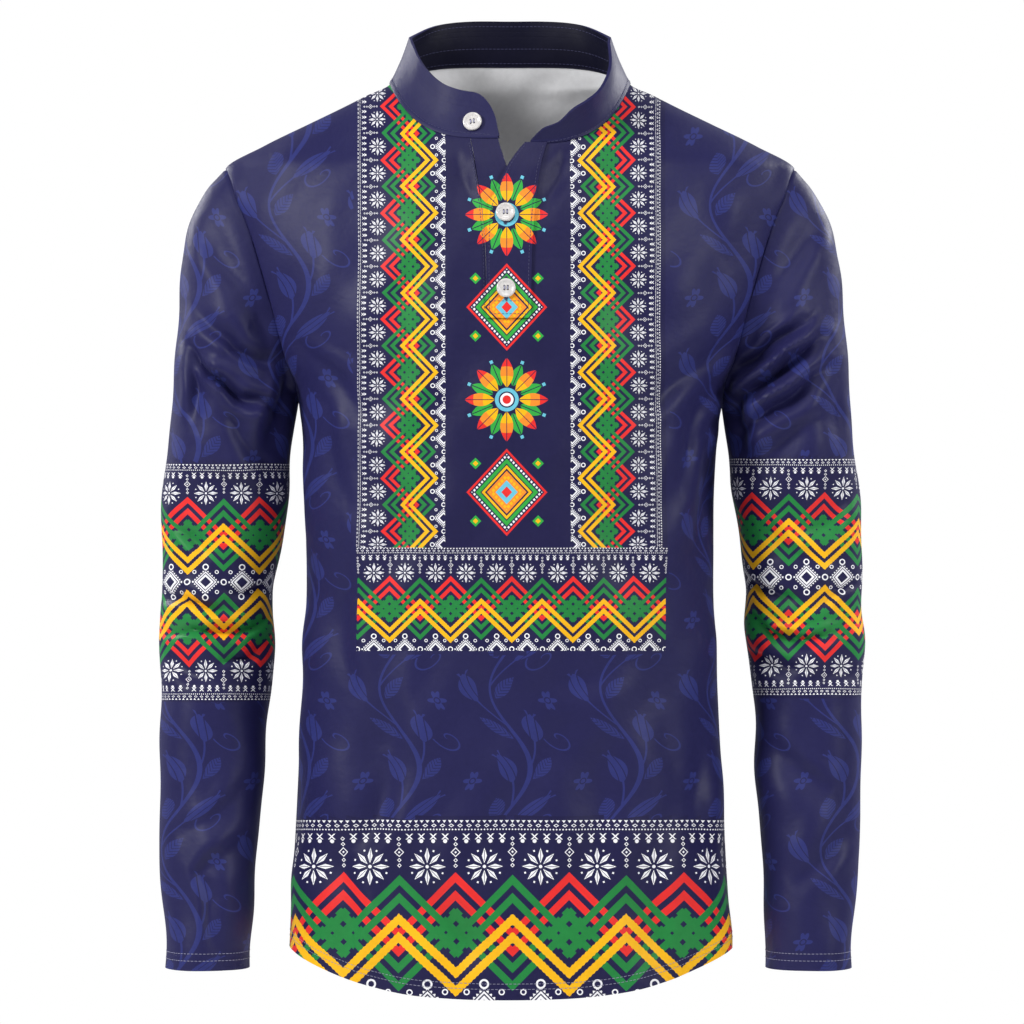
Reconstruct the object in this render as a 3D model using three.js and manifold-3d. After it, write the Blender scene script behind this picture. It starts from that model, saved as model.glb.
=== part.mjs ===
// A long-sleeved pullover shirt with a band collar and a short button placket, filled out as if worn.
// Millimetres, +Z up, the front faces -Y. The origin is the middle of the neck, level with the points
// where the shoulder seams meet the collar, which is where the wearer carries the shirt.
// Left and right are the wearer's: the left sleeve is at +X.
import * as THREE from "three";
import { mergeVertices } from "three/addons/utils/BufferGeometryUtils.js";
import Module from "manifold-3d";

// Driving sizes
const WALL = 1.6; // cloth of the panels
const COLLAR_WALL = 2.2; // two layers of cloth
const SEAM_GAP = 0.3; // between pieces that are sewn together
const LAP_GAP = 0.5; // between the two placket strips
const NECK_HALF_WIDTH = 95.4;
const NECK_DROP = { "-1": 48.5, 1: 52 }; // front neckline below the origin, by side
const NECK_BACK_RISE = 17; // back neckline above the origin
const SHOULDER_DROP = 68.5;
const ARMPIT_DROP = 247;
const ARMHOLE_HALF_DEPTH = 46; // of the armhole's loop, from front to back
const ARMHOLE_SKEW = 0.12; // the loop is fuller below than above
const SIDE_LENGTH = 688; // origin to the hem at the side seams
const HEM_CURVE = { front: 34.7, back: 42 }; // how far the hem curves down between the side seams
const PLACKET_BOTTOM = 184;
const PLACKET_LAP = 7; // the outer strip runs this far past the slit
const COLLAR_RISE = 37;
const COLLAR_END_RADIUS = 30; // of the band's right end
const OPEN_RISE = 27; // of the band where its left front is turned outwards
const COLLAR_LEFT_REACH = 16; // the band's left end, across the outer strip's top
const COLLAR_FLARE = 1.5; // how far the band bows in above its seam
const HOLE_RADIUS = 0.85; // of a button's four holes
const HOLE_PLACE = 1.35; // from the button's middle lines
const BUTTON_DIAMETER = 15;
const BUTTON_THICKNESS = 2.6;

// The band's left end: how much of its full height it has at each distance from the end
const COLLAR_LEFT_END = [
  { from: 0, share: 0.06 },
  { from: 11, share: 0.4 },
  { from: 22, share: 0.52 },
  { from: 36, share: 0.88 },
  { from: 50, share: 1 },
];

// How finely the pieces are divided
const COLUMNS = 10; // from the middle of a panel to its side
const NECK_ROWS = 6;
const ARMHOLE_ROWS = 14;
const BODY_ROWS = 22;
const SLEEVE_ROWS = 25;
const COLLAR_ROWS = 3;
const STRIP_COLUMNS = 3;

// The body at each height: half width, depth of front and back from the side line, where that line
// lies, and how square the front and back are (2 is an ellipse)
const BODY = [
  { z: 17, half: 95.4, front: 35, back: 52, middle: 0, frontPower: 1.6, backPower: 2.0 },
  { z: 0, half: 95.4, front: 36, back: 56, middle: 0, frontPower: 1.6, backPower: 2.0 },
  { z: -10, half: 114.5, front: 44, back: 60, middle: 1, frontPower: 1.6, backPower: 2.0 },
  { z: -20, half: 134.5, front: 53, back: 64, middle: 2, frontPower: 1.6, backPower: 1.97 },
  { z: -32, half: 159.5, front: 62, back: 70, middle: 3, frontPower: 1.62, backPower: 1.94 },
  { z: -50, half: 196.6, front: 77, back: 79, middle: 4.5, frontPower: 1.66, backPower: 1.9 },
  { z: -68.5, half: 227.5, front: 87, back: 87, middle: 6, frontPower: 1.75, backPower: 1.9 },
  { z: -90, half: 232, front: 94, back: 94, middle: 7, frontPower: 1.86, backPower: 1.95 },
  { z: -105, half: 228, front: 99, back: 98, middle: 7, frontPower: 1.95, backPower: 2.0 },
  { z: -144, half: 216, front: 108, back: 106, middle: 7, frontPower: 2.1, backPower: 2.1 },
  { z: -188, half: 198, front: 115, back: 111, middle: 7, frontPower: 2.25, backPower: 2.2 },
  { z: -220, half: 183.5, front: 118, back: 112, middle: 7, frontPower: 2.32, backPower: 2.3 },
  { z: -247, half: 169, front: 120, back: 112, middle: 7, frontPower: 2.35, backPower: 2.35 },
  { z: -293, half: 164.4, front: 121, back: 110, middle: 6, frontPower: 2.4, backPower: 2.4 },
  { z: -341, half: 162.3, front: 121, back: 107, middle: 5, frontPower: 2.4, backPower: 2.4 },
  { z: -400, half: 162, front: 119, back: 104, middle: 4, frontPower: 2.4, backPower: 2.4 },
  { z: -453, half: 163.6, front: 117, back: 103, middle: 3, frontPower: 2.4, backPower: 2.4 },
  { z: -533, half: 167.6, front: 116, back: 105, middle: 2, frontPower: 2.4, backPower: 2.4 },
  { z: -613, half: 171.6, front: 117, back: 109, middle: 1, frontPower: 2.4, backPower: 2.4 },
  { z: -677, half: 175, front: 118, back: 112, middle: 0, frontPower: 2.4, backPower: 2.4 },
  { z: -740, half: 177, front: 119, back: 114, middle: 0, frontPower: 2.4, backPower: 2.4 },
];

// Sections of the sleeves: the height of the outer edge and its reach at the wearer's right and left,
// the same of the inner edge, half the depth, and how far back the section lies
const SLEEVE_KEYS = ["outZ", "outRight", "outLeft", "inZ", "inRight", "inLeft", "deep", "y"];
const SLEEVE = [
  [-68.5, 227.5, 227.5, -247, 169, 169, 46, 6],
  [-85, 242.5, 241.5, -250, 170, 170, 48, 6],
  [-104, 251.5, 251, -255, 171, 170.5, 50, 6],
  [-128, 259, 259, -262, 171.7, 171, 53, 6],
  [-155, 263.5, 264.5, -271, 172.6, 171.6, 55.5, 6],
  [-186, 265.5, 267.5, -283, 173.5, 172.4, 57, 6],
  [-220, 267.5, 270, -299, 175, 174, 57.5, 6.5],
  [-256, 271, 273, -318, 177, 177, 57, 7.5],
  [-292, 274.4, 275.5, -340, 179.5, 181.5, 55.5, 9],
  [-328, 276, 278, -364, 182, 184.5, 54, 10],
  [-362, 278, 280.5, -388, 185.6, 185.6, 53, 11],
  [-392, 278, 282, -408, 189, 188, 52, 11],
  [-420, 279, 280.5, -428, 191, 189, 51, 10],
  [-447, 279.5, 282.5, -450, 190.5, 192, 50, 8],
  [-478, 280, 283, -478, 192, 195, 49, 5],
  [-512, 279.5, 281, -511, 195, 196.8, 48, 1],
  [-548, 278.5, 279.5, -547, 198.4, 197.6, 47, -4],
  [-585, 278, 278, -584, 200, 199.4, 46, -9],
  [-622, 277.5, 276, -621, 202, 201, 45, -14],
  [-658, 276.5, 275, -658, 204.5, 202.6, 43.5, -18],
  [-692, 274.5, 272, -692, 207.2, 203.4, 42, -21],
  [-704.5, 274, 271.5, -704.5, 207.8, 204, 41.5, -22],
].map((row) => Object.fromEntries(SLEEVE_KEYS.map((key, k) => [key, row[k]])));
const SLEEVE_POWER = 2.15; // how square a sleeve's section is
const CAP_SHARE = 0.34; // how much of the sleeve settles from the armhole's shape to the tube's

// The edges of the placket: the slit in the front, the under strip's free edge and the outer
// strip's free edge, which part near the neck where the shirt is open
const PLACKET = [
  { z: -44, slitRight: -32, slitLeft: 27, underFree: -10.5, outerFree: 19 },
  { z: -50, slitRight: -31, slitLeft: 25.5, underFree: -9, outerFree: 14 },
  { z: -60, slitRight: -29, slitLeft: 22.5, underFree: -6, outerFree: 5.5 },
  { z: -72, slitRight: -27, slitLeft: 19.5, underFree: -2, outerFree: -2.5 },
  { z: -90, slitRight: -24, slitLeft: 17, underFree: 8, outerFree: -11 },
  { z: -110, slitRight: -21.5, slitLeft: 15, underFree: 13, outerFree: -17.5 },
  { z: -145, slitRight: -19, slitLeft: 12.8, underFree: 12.2, outerFree: -18.5 },
  { z: -200, slitRight: -18, slitLeft: 12, underFree: 11.4, outerFree: -18 },
];

// The largest folds of the body, as soft troughs (or ridges, where deep is negative) between two
// places of the panel, seen from the front
const BODY_FOLDS = [
  { side: "front", x1: -131, z1: -385, x2: -129, z2: -470, wide: 17, deep: 5 },
  { side: "front", x1: 158, z1: -255, x2: 150, z2: -425, wide: 15, deep: 4.5 },
  { side: "front", x1: -95, z1: -545, x2: -118, z2: -600, wide: 20, deep: 4 },
  { side: "front", x1: 146, z1: -530, x2: 152, z2: -610, wide: 17, deep: 4 },
  { side: "front", x1: -150, z1: -215, x2: -112, z2: -262, wide: 16, deep: 4 },
  { side: "front", x1: 150, z1: -215, x2: 108, z2: -258, wide: 16, deep: 4 },
  { side: "front", x1: -60, z1: -640, x2: -30, z2: -690, wide: 24, deep: 3 },
  { side: "back", x1: -120, z1: -150, x2: -60, z2: -240, wide: 22, deep: 5 },
  { side: "back", x1: 118, z1: -155, x2: 64, z2: -238, wide: 22, deep: 5 },
  { side: "back", x1: -125, z1: -395, x2: -85, z2: -470, wide: 20, deep: 5 },
  { side: "back", x1: 130, z1: -380, x2: 82, z2: -462, wide: 20, deep: 5 },
  { side: "back", x1: -30, z1: -430, x2: 40, z2: -450, wide: 24, deep: 4 },
  { side: "back", x1: -70, z1: -560, x2: -50, z2: -660, wide: 26, deep: 4 },
  { side: "back", x1: 75, z1: -575, x2: 60, z2: -665, wide: 26, deep: 4 },
];

// The largest folds of the sleeves, by arm, seen from the front
const SLEEVE_FOLDS = [
  { arm: "left", side: "front", x1: 186, z1: -244, x2: 236, z2: -186, wide: 11, deep: 5.5 },
  { arm: "left", side: "front", x1: 184, z1: -276, x2: 250, z2: -226, wide: 12, deep: 5.5 },
  { arm: "left", side: "front", x1: 192, z1: -306, x2: 246, z2: -268, wide: 12, deep: 4 },
  { arm: "left", side: "front", x1: 196, z1: -416, x2: 262, z2: -402, wide: 11, deep: 5 },
  { arm: "left", side: "front", x1: 198, z1: -450, x2: 226, z2: -444, wide: 11, deep: 4 },
  { arm: "left", side: "back", x1: 190, z1: -250, x2: 242, z2: -200, wide: 13, deep: 5 },
  { arm: "left", side: "back", x1: 204, z1: -392, x2: 268, z2: -404, wide: 12, deep: 4.5 },
  { arm: "left", side: "back", x1: 204, z1: -424, x2: 266, z2: -432, wide: 12, deep: 4.5 },
  { arm: "left", side: "back", x1: 214, z1: -560, x2: 258, z2: -600, wide: 14, deep: 3.5 },
  { arm: "right", side: "front", x1: 186, z1: -246, x2: 238, z2: -206, wide: 12, deep: 5.5 },
  { arm: "right", side: "front", x1: 190, z1: -288, x2: 250, z2: -226, wide: 12, deep: 5 },
  { arm: "right", side: "front", x1: 262, z1: -344, x2: 238, z2: -370, wide: 11, deep: 4.5 },
  { arm: "right", side: "front", x1: 268, z1: -392, x2: 226, z2: -396, wide: 11, deep: 5 },
  { arm: "right", side: "front", x1: 200, z1: -428, x2: 236, z2: -442, wide: 12, deep: 5 },
  { arm: "right", side: "front", x1: 216, z1: -600, x2: 252, z2: -656, wide: 14, deep: 3.5 },
  { arm: "right", side: "back", x1: 190, z1: -254, x2: 240, z2: -206, wide: 13, deep: 5 },
  { arm: "right", side: "back", x1: 206, z1: -396, x2: 266, z2: -408, wide: 12, deep: 4.5 },
  { arm: "right", side: "back", x1: 206, z1: -430, x2: 262, z2: -434, wide: 12, deep: 4.5 },
  { arm: "right", side: "back", x1: 216, z1: -548, x2: 256, z2: -590, wide: 14, deep: 3.5 },
];

// Where the buttons sit
const BUTTONS = [
  { name: "button_collar", x: -25, z: -35 },
  { name: "button_upper", x: -3.5, z: -108.5 },
  { name: "button_lower", x: -3, z: -168 },
];

const BLUE = 0x383a63;
const CLOTH = { roughness: 0.62, metalness: 0 };

const lerp = (a, b, t) => a + (b - a) * t;
const clamp01 = (t) => Math.min(1, Math.max(0, t));
const smooth = (t) => clamp01(t) ** 2 * (3 - 2 * clamp01(t));
const vec = (x, y, z) => new THREE.Vector3(x, y, z);

// A smooth curve through a table's rows, with no overshoot between them
function curve(rows, key, value) {
  const up = rows.length > 1 && rows[1][key] > rows[0][key];
  const list = up ? rows : [...rows].reverse();
  const x = list.map((row) => row[key]);
  const y = list.map((row) => row[value]);
  const slope = x.slice(1).map((right, i) => (y[i + 1] - y[i]) / (right - x[i]));
  const tangent = x.map((_, i) => {
    if (i === 0) return slope[0];
    if (i === x.length - 1) return slope[i - 1];
    if (slope[i - 1] * slope[i] <= 0) return 0;
    return (2 * slope[i - 1] * slope[i]) / (slope[i - 1] + slope[i]);
  });
  return (at) => {
    let i = x.findIndex((right, k) => k > 0 && at <= right) - 1;
    if (i < 0) i = at <= x[0] ? 0 : x.length - 2;
    const step = x[i + 1] - x[i];
    const t = clamp01((at - x[i]) / step);
    const rise = t * t * (3 - 2 * t);
    return (
      lerp(y[i], y[i + 1], rise) +
      step * (tangent[i] * t * (1 - t) ** 2 - tangent[i + 1] * t * t * (1 - t))
    );
  };
}

const BODY_KEYS = ["half", "front", "back", "middle", "frontPower", "backPower"];
const body = Object.fromEntries(BODY_KEYS.map((key) => [key, curve(BODY, "z", key)]));
const PLACKET_KEYS = ["slitRight", "slitLeft", "underFree", "outerFree"];
const placket = Object.fromEntries(PLACKET_KEYS.map((key) => [key, curve(PLACKET, "z", key)]));
const collarLeftEnd = curve(COLLAR_LEFT_END, "from", "share");

// A point of the body: phi is 0 at the middle of the front or back and a quarter turn at the side,
// and side is 1 at the wearer's left (+X)
function bare(face, side, phi, z) {
  const power = body[face + "Power"](z);
  const sin = Math.abs(Math.sin(phi));
  const cos = Math.max(0, Math.cos(phi));
  const reach = (sin ** power + cos ** power) ** (-1 / power);
  const sign = Math.sign(phi) * side;
  const depth = body[face](z) * reach * cos;
  return vec(sign * body.half(z) * reach * sin, body.middle(z) + (face === "front" ? -depth : depth), z);
}

// The angle at which the body is x wide at this height
function angleAt(face, x, z) {
  const power = body[face + "Power"](z);
  const share = Math.min(1, Math.abs(x) / body.half(z));
  if (share < 1e-9) return 0;
  return Math.atan2(1, Math.max(0, share ** -power - 1) ** (1 / power));
}

// The angle at which the armhole's seam crosses this height
function armholeAngle(face, z) {
  const half = (ARMPIT_DROP - SHOULDER_DROP) / 2;
  const level = (z + (SHOULDER_DROP + ARMPIT_DROP) / 2) / half;
  const depth = ARMHOLE_HALF_DEPTH * Math.sqrt(Math.max(0, 1 - level ** 2)) * (1 - ARMHOLE_SKEW * level);
  const share = depth / body[face](z);
  const power = body[face + "Power"](z);
  return Math.atan2((1 - share ** power) ** (1 / power), share);
}

function outwardNormal(face, side, phi, z) {
  const turn = 0.002;
  const rise = 0.5;
  const onSide = phi > Math.PI / 2 - turn; // the side line, which front and back share
  const before = bare(face, side, phi - turn, z);
  const round = onSide ? vec(0, 1, 0) : bare(face, side, phi + turn, z).sub(before);
  const up = bare(face, side, phi, z + rise).sub(bare(face, side, phi, z - rise));
  const normal = round.cross(up).normalize();
  const here = bare(face, side, phi, z);
  const out = vec(here.x, here.y - body.middle(z), 0);
  return normal.dot(out) < 0 ? normal.negate() : normal;
}

// How deep the folds are at a place, as a soft trough that fades at both ends
function foldDepth(folds, x, z) {
  let sum = 0;
  for (const fold of folds) {
    const along = vec(fold.x2 - fold.x1, 0, fold.z2 - fold.z1);
    const length = along.length();
    along.normalize();
    const from = vec(x - fold.x1, 0, z - fold.z1);
    const t = from.dot(along);
    const off = from.addScaledVector(along, -t).length() / fold.wide;
    const fade = smooth((Math.min(t, length - t) + fold.wide) / (2 * fold.wide));
    sum += fold.deep * Math.exp(-off * off) * fade;
  }
  return sum;
}

// A wall of cloth round a sheet of points, closed at every open edge
function wall(points, normals, faces, thickness) {
  const count = points.length;
  const spots = [];
  const moved = (i, out) => points[i].clone().addScaledVector(normals[i], out);
  for (const sign of [1, -1]) {
    points.forEach((_, i) => spots.push(...moved(i, (sign * thickness) / 2).toArray()));
  }
  const index = [];
  const edges = new Map();
  for (const face of faces) {
    for (let i = 1; i + 1 < face.length; i++) {
      index.push(face[0], face[i], face[i + 1]);
      index.push(face[0] + count, face[i + 1] + count, face[i] + count);
    }
    face.forEach((a, i) => {
      const b = face[(i + 1) % face.length];
      const back = `${b},${a}`;
      if (edges.has(back)) edges.delete(back);
      else edges.set(`${a},${b}`, [a, b]);
    });
  }
  // The faces that close an edge are split along their shorter diagonal, so both sides of a seam match
  const across = (a, b) => moved(a, thickness / 2).distanceTo(moved(b, -thickness / 2));
  for (const [a, b] of edges.values()) {
    if (across(b, a) < across(a, b)) index.push(b, a, a + count, b, a + count, b + count);
    else index.push(b, a, b + count, a, a + count, b + count);
  }
  const geometry = new THREE.BufferGeometry();
  geometry.setAttribute("position", new THREE.Float32BufferAttribute(spots, 3));
  geometry.setIndex(index);
  geometry.computeVertexNormals();
  return geometry;
}

// Turns the faces round where the sheet's own direction is opposite to its normals
function facing(points, normals, faces) {
  let sum = 0;
  for (const [a, b, c] of faces) {
    const side = points[b].clone().sub(points[a]).cross(points[c].clone().sub(points[a]));
    sum += side.dot(normals[a]);
  }
  return sum < 0 ? faces.map((face) => [...face].reverse()) : faces;
}

const armholeZ = (row) => {
  const middle = -(SHOULDER_DROP + ARMPIT_DROP) / 2;
  return middle + ((ARMPIT_DROP - SHOULDER_DROP) / 2) * Math.cos((Math.PI * row) / ARMHOLE_ROWS);
};

// The armhole's loop: down the front from the shoulder to the armpit, and up the back
function armholePoint(face, side, row) {
  const z = armholeZ(row);
  if (row === 0 || row === ARMHOLE_ROWS) return bare(face, side, Math.PI / 2, z);
  return bare(face, side, armholeAngle(face, z), z);
}
function armholeLoop(side) {
  const loop = [];
  for (let row = 0; row < ARMHOLE_ROWS; row++) loop.push(armholePoint("front", side, row));
  for (let row = ARMHOLE_ROWS; row > 0; row--) loop.push(armholePoint("back", side, row));
  return loop;
}
const armholeAway = (side) => {
  const down = vec(body.half(-SHOULDER_DROP) - body.half(-ARMPIT_DROP), 0, ARMPIT_DROP - SHOULDER_DROP);
  return vec(side * down.z, 0, -down.x).normalize();
};
function armholeNormal(side, place) {
  const loop = armholeLoop(side);
  const next = loop[(place + 1) % loop.length];
  const last = loop[(place + loop.length - 1) % loop.length];
  const normal = next.clone().sub(last).cross(armholeAway(side)).normalize();
  const middle = loop.reduce((sum, p) => sum.add(p), vec(0, 0, 0)).divideScalar(loop.length);
  return normal.dot(loop[place].clone().sub(middle)) < 0 ? normal.negate() : normal;
}

// The neckline on one side of the front or back, as places from the shoulder to the middle
function neckline(face, side, share) {
  if (face === "back") {
    const x = NECK_HALF_WIDTH * Math.cos((share * Math.PI) / 2);
    const z = NECK_BACK_RISE * (1 - (x / NECK_HALF_WIDTH) ** 4) ** 0.9;
    return { x, z };
  }
  const drop = NECK_DROP[side];
  const end = side < 0 ? -placket.slitRight(-drop) : placket.slitLeft(-drop);
  const x = lerp(NECK_HALF_WIDTH, end, Math.sin((share * Math.PI) / 2) ** 2 * 0.35 + share * 0.65);
  return { x, z: neckHeight(side, x) };
}
const neckHeight = (side, x) => -NECK_DROP[side] * (1 - Math.abs(x / NECK_HALF_WIDTH) ** 4) ** 0.85;

// Where the collar's top edge lies above a place of the neckline
function collarTop(base) {
  const open = base.x > 0 ? smooth(-base.y / 70) : 0; // the left front of the band is turned outwards
  const away = base.y < 0 ? lerp(0.86, 1.22, open) : 0.9;
  return vec(base.x * lerp(0.833, 1.02, open), base.y * away, base.z + lerp(COLLAR_RISE, OPEN_RISE, open));
}

// The places of the neck seam, from the collar's right end round the back to its left end. Each has
// the normal that panel and collar share there, the way up, and the collar's rise and normal.
const NECK = collarBase();
const neckPlace = (face, side, row) => NECK.find((p) => p.face === face && p.side === side && p.row === row);
function collarBase() {
  const places = [];
  const add = (face, side, row, x, z) => {
    const phi = Math.abs(x) < 1e-6 ? 0 : angleAt(face, x, z);
    const point = bare(face, side, phi, z);
    places.push({ face, side, row, point, panelNormal: outwardNormal(face, side, phi, z) });
  };
  const addRow = (face, side, row) => {
    const { x, z } = neckline(face, side, row / NECK_ROWS);
    add(face, side, row, x, z);
  };
  const free = placket.underFree(-NECK_DROP[-1]);
  const slit = placket.slitRight(-NECK_DROP[-1]) + SEAM_GAP;
  for (let k = STRIP_COLUMNS; k > 0; k--) {
    const x = lerp(slit, free, k / STRIP_COLUMNS);
    add("front", -1, "strip", Math.abs(x), neckHeight(-1, x));
  }
  for (let row = NECK_ROWS; row > 0; row--) addRow("front", -1, row);
  for (let row = 0; row <= NECK_ROWS; row++) addRow("back", -1, row);
  for (let row = NECK_ROWS - 1; row >= 0; row--) addRow("back", 1, row);
  for (let row = 1; row <= NECK_ROWS; row++) addRow("front", 1, row);
  const slitLeft = placket.slitLeft(-NECK_DROP[1]) - SEAM_GAP;
  for (let k = 1; k <= STRIP_COLUMNS; k++) {
    const x = lerp(slitLeft, COLLAR_LEFT_REACH, k / STRIP_COLUMNS);
    add("front", 1, "strip", x, neckHeight(1, x));
  }
  places.forEach((place, i) => {
    const before = places[Math.max(0, i - 1)].point;
    const after = places[Math.min(places.length - 1, i + 1)].point;
    place.run = i === 0 ? 0 : places[i - 1].run + place.point.distanceTo(before);
    const tangent = after.clone().sub(before).normalize();
    place.rise = collarTop(place.point).sub(place.point);
    place.out = tangent.clone().cross(place.rise).normalize();
    if (place.out.dot(vec(place.point.x, place.point.y, 0)) < 0) place.out.negate();
    place.normal = place.panelNormal.clone().add(place.out).normalize();
    place.up = tangent.cross(place.normal).normalize();
    if (place.up.z < 0) place.up.negate();
  });
  return places;
}

// A point of the collar above a place of the neck seam
const collarPoint = ({ point, rise, out }, up) =>
  point.clone().addScaledVector(rise, up).addScaledVector(out, -COLLAR_FLARE * Math.sin(Math.PI * up));

const hemZ = (face, phi, z) => {
  const share = Math.abs(bare(face, 1, phi, z).x) / body.half(z);
  return -SIDE_LENGTH - HEM_CURVE[face] * Math.max(0, 1 - share ** 2.7) ** 0.95;
};

// The rows of a half panel: where each starts at the middle and ends at the side
const MIDDLE_ROWS = {
  front: [-67, -89, -112, -136, -160, -PLACKET_BOTTOM, -PLACKET_BOTTOM - 2.5, -208],
  back: [-4, -30, -60, -92, -124, -158, -190, -222],
};
function panelRow(face, side, row) {
  const outerZ = row <= ARMHOLE_ROWS ? armholeZ(row) : null;
  let inner;
  if (row <= NECK_ROWS) inner = neckline(face, side, row / NECK_ROWS);
  else if (row <= ARMHOLE_ROWS) inner = { x: 0, z: MIDDLE_ROWS[face][row - NECK_ROWS - 1] };
  else inner = { x: 0, z: MIDDLE_ROWS[face].at(-1) };
  if (face === "front" && row > NECK_ROWS && inner.z >= -PLACKET_BOTTOM) {
    inner.x = side < 0 ? -placket.slitRight(inner.z) : placket.slitLeft(inner.z);
  }
  return { inner, outerZ };
}

// One place of a half panel: column 0 is at the side or armhole, the last one at the middle
function panelPlace(face, side, row, column) {
  const share = column / COLUMNS;
  const top = Math.min(row, ARMHOLE_ROWS);
  const { inner, outerZ } = panelRow(face, side, top);
  const edge = top === 0 || top === ARMHOLE_ROWS ? Math.PI / 2 : armholeAngle(face, outerZ);
  const middle = top === 0 ? Math.PI / 2 : angleAt(face, inner.x, inner.z);
  const phi = lerp(edge, middle, share);
  let z = lerp(outerZ, inner.z, share);
  if (row > ARMHOLE_ROWS) z = lerp(z, hemZ(face, phi, -SIDE_LENGTH), (row - ARMHOLE_ROWS) / BODY_ROWS);
  return { phi, z };
}

function panelPoint(face, side, row, column) {
  const { phi, z } = panelPlace(face, side, row, column);
  const point = bare(face, side, phi, z);
  let normal = outwardNormal(face, side, phi, z);
  const atSide = column === 0;
  const atNeck = column === COLUMNS && row <= NECK_ROWS;
  const forward = face === "front" ? -1 : 1;
  const folds = BODY_FOLDS.filter((fold) => fold.side === face);
  const clear = smooth(column / 2.5) * smooth(row / 3);
  point.addScaledVector(normal, -foldDepth(folds, point.x, point.z) * clear);
  if (atNeck) {
    const seam = neckPlace(row === 0 ? "back" : face, side, row);
    point.addScaledVector(seam.up, -SEAM_GAP / 2);
    normal = seam.normal.clone();
  }
  if (atSide && row <= ARMHOLE_ROWS) {
    const place = face === "front" ? row : (2 * ARMHOLE_ROWS - row) % (2 * ARMHOLE_ROWS);
    normal = armholeNormal(side, place);
    point.addScaledVector(armholeAway(side), -SEAM_GAP / 2);
  }
  if (row === 0 || (atSide && row >= ARMHOLE_ROWS)) point.y += (forward * SEAM_GAP) / 2;
  return { point, normal };
}

// A panel: its two halves share their middle points, but for the slit of the front
function panel(face) {
  const rows = ARMHOLE_ROWS + BODY_ROWS;
  const points = [];
  const normals = [];
  const number = [];
  for (let row = 0; row <= rows; row++) {
    const line = [];
    for (const side of [-1, 1]) {
      for (let k = 0; k <= COLUMNS; k++) {
        const column = side < 0 ? k : COLUMNS - k;
        const shared = row > NECK_ROWS && panelPlace(face, side, row, COLUMNS).phi < 1e-6;
        const joined = shared || (face === "back" && row === NECK_ROWS);
        if (side > 0 && column === COLUMNS && joined) {
          line.push(line.at(-1));
          continue;
        }
        const { point, normal } = panelPoint(face, side, row, column);
        if (column === COLUMNS && joined) {
          point.x = 0;
          normal.x = 0;
          normal.normalize();
        }
        line.push(points.length);
        points.push(point);
        normals.push(normal);
      }
    }
    number.push(line);
  }
  const faces = [];
  for (let row = 0; row < rows; row++) {
    for (let k = 0; k < number[row].length - 1; k++) {
      if (k === COLUMNS) continue;
      const ring = [number[row][k], number[row + 1][k], number[row + 1][k + 1], number[row][k + 1]];
      faces.push(ring);
    }
  }
  return wall(points, normals, facing(points, normals, faces), WALL);
}

// A sleeve: rings that settle from the armhole's loop to a tube
function sleeve(side) {
  const arm = side > 0 ? "Left" : "Right";
  const rowed = SLEEVE.map((row, i) => ({ ...row, i }));
  const at = Object.fromEntries(
    ["outZ", "inZ", "deep", "y", "out" + arm, "in" + arm].map((key) => [key, curve(rowed, "i", key)]),
  );
  const loop = armholeLoop(side);
  const around = loop.length;
  const away = armholeAway(side);
  const folds = SLEEVE_FOLDS.filter((fold) => fold.arm === arm.toLowerCase());
  const ring = (share, k) => {
    const i = share * (SLEEVE.length - 1);
    const angle = (2 * Math.PI * k) / around;
    const sum = Math.abs(Math.cos(angle)) ** SLEEVE_POWER + Math.abs(Math.sin(angle)) ** SLEEVE_POWER;
    const reach = sum ** (-1 / SLEEVE_POWER);
    const outer = vec(side * at["out" + arm](i), at.y(i), at.outZ(i));
    const inner = vec(side * at["in" + arm](i), at.y(i), at.inZ(i));
    const centre = outer.clone().add(inner).multiplyScalar(0.5);
    const point = centre.clone().addScaledVector(outer.sub(centre), reach * Math.cos(angle));
    point.y -= at.deep(i) * reach * Math.sin(angle);
    return point;
  };
  const points = [];
  for (let j = 0; j <= SLEEVE_ROWS; j++) {
    const share = j / SLEEVE_ROWS;
    const settle = 1 - smooth(share / CAP_SHARE);
    for (let k = 0; k < around; k++) {
      const point = ring(share, k);
      point.addScaledVector(loop[k].clone().sub(ring(0, k)), settle);
      points.push(point);
    }
  }
  const id = (j, k) => j * around + ((k + around) % around);
  const normals = points.map((point, i) => {
    const j = Math.floor(i / around);
    const k = i % around;
    if (j === 0) return armholeNormal(side, k);
    const along = points[id(Math.min(j + 1, SLEEVE_ROWS), k)].clone().sub(points[id(j - 1, k)]);
    const round = points[id(j, k + 1)].clone().sub(points[id(j, k - 1)]);
    return along.cross(round).normalize().multiplyScalar(side);
  });
  points.forEach((point, i) => {
    const j = Math.floor(i / around);
    if (j === 0) {
      point.addScaledVector(away, SEAM_GAP / 2);
      return;
    }
    const normal = normals[i];
    for (const [name, sign] of [["front", -1], ["back", 1]]) {
      const faced = smooth(sign * normal.y * 1.6);
      const list = folds.filter((fold) => fold.side === name);
      const depth = foldDepth(list, Math.abs(point.x), point.z);
      point.addScaledVector(normal, -depth * faced * smooth(j / 3));
    }
  });
  const faces = [];
  for (let j = 0; j < SLEEVE_ROWS; j++) {
    for (let k = 0; k < around; k++) faces.push([id(j, k), id(j, k + 1), id(j + 1, k + 1), id(j + 1, k)]);
  }
  return wall(points, normals, facing(points, normals, faces), WALL);
}

// The front's surface at a place given by x and height, moved out
function onFront(x, z, out) {
  const side = x < 0 ? -1 : 1;
  const phi = angleAt("front", x, z);
  const normal = outwardNormal("front", side, phi, z);
  return { point: bare("front", side, phi, z).addScaledVector(normal, out), normal };
}

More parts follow.
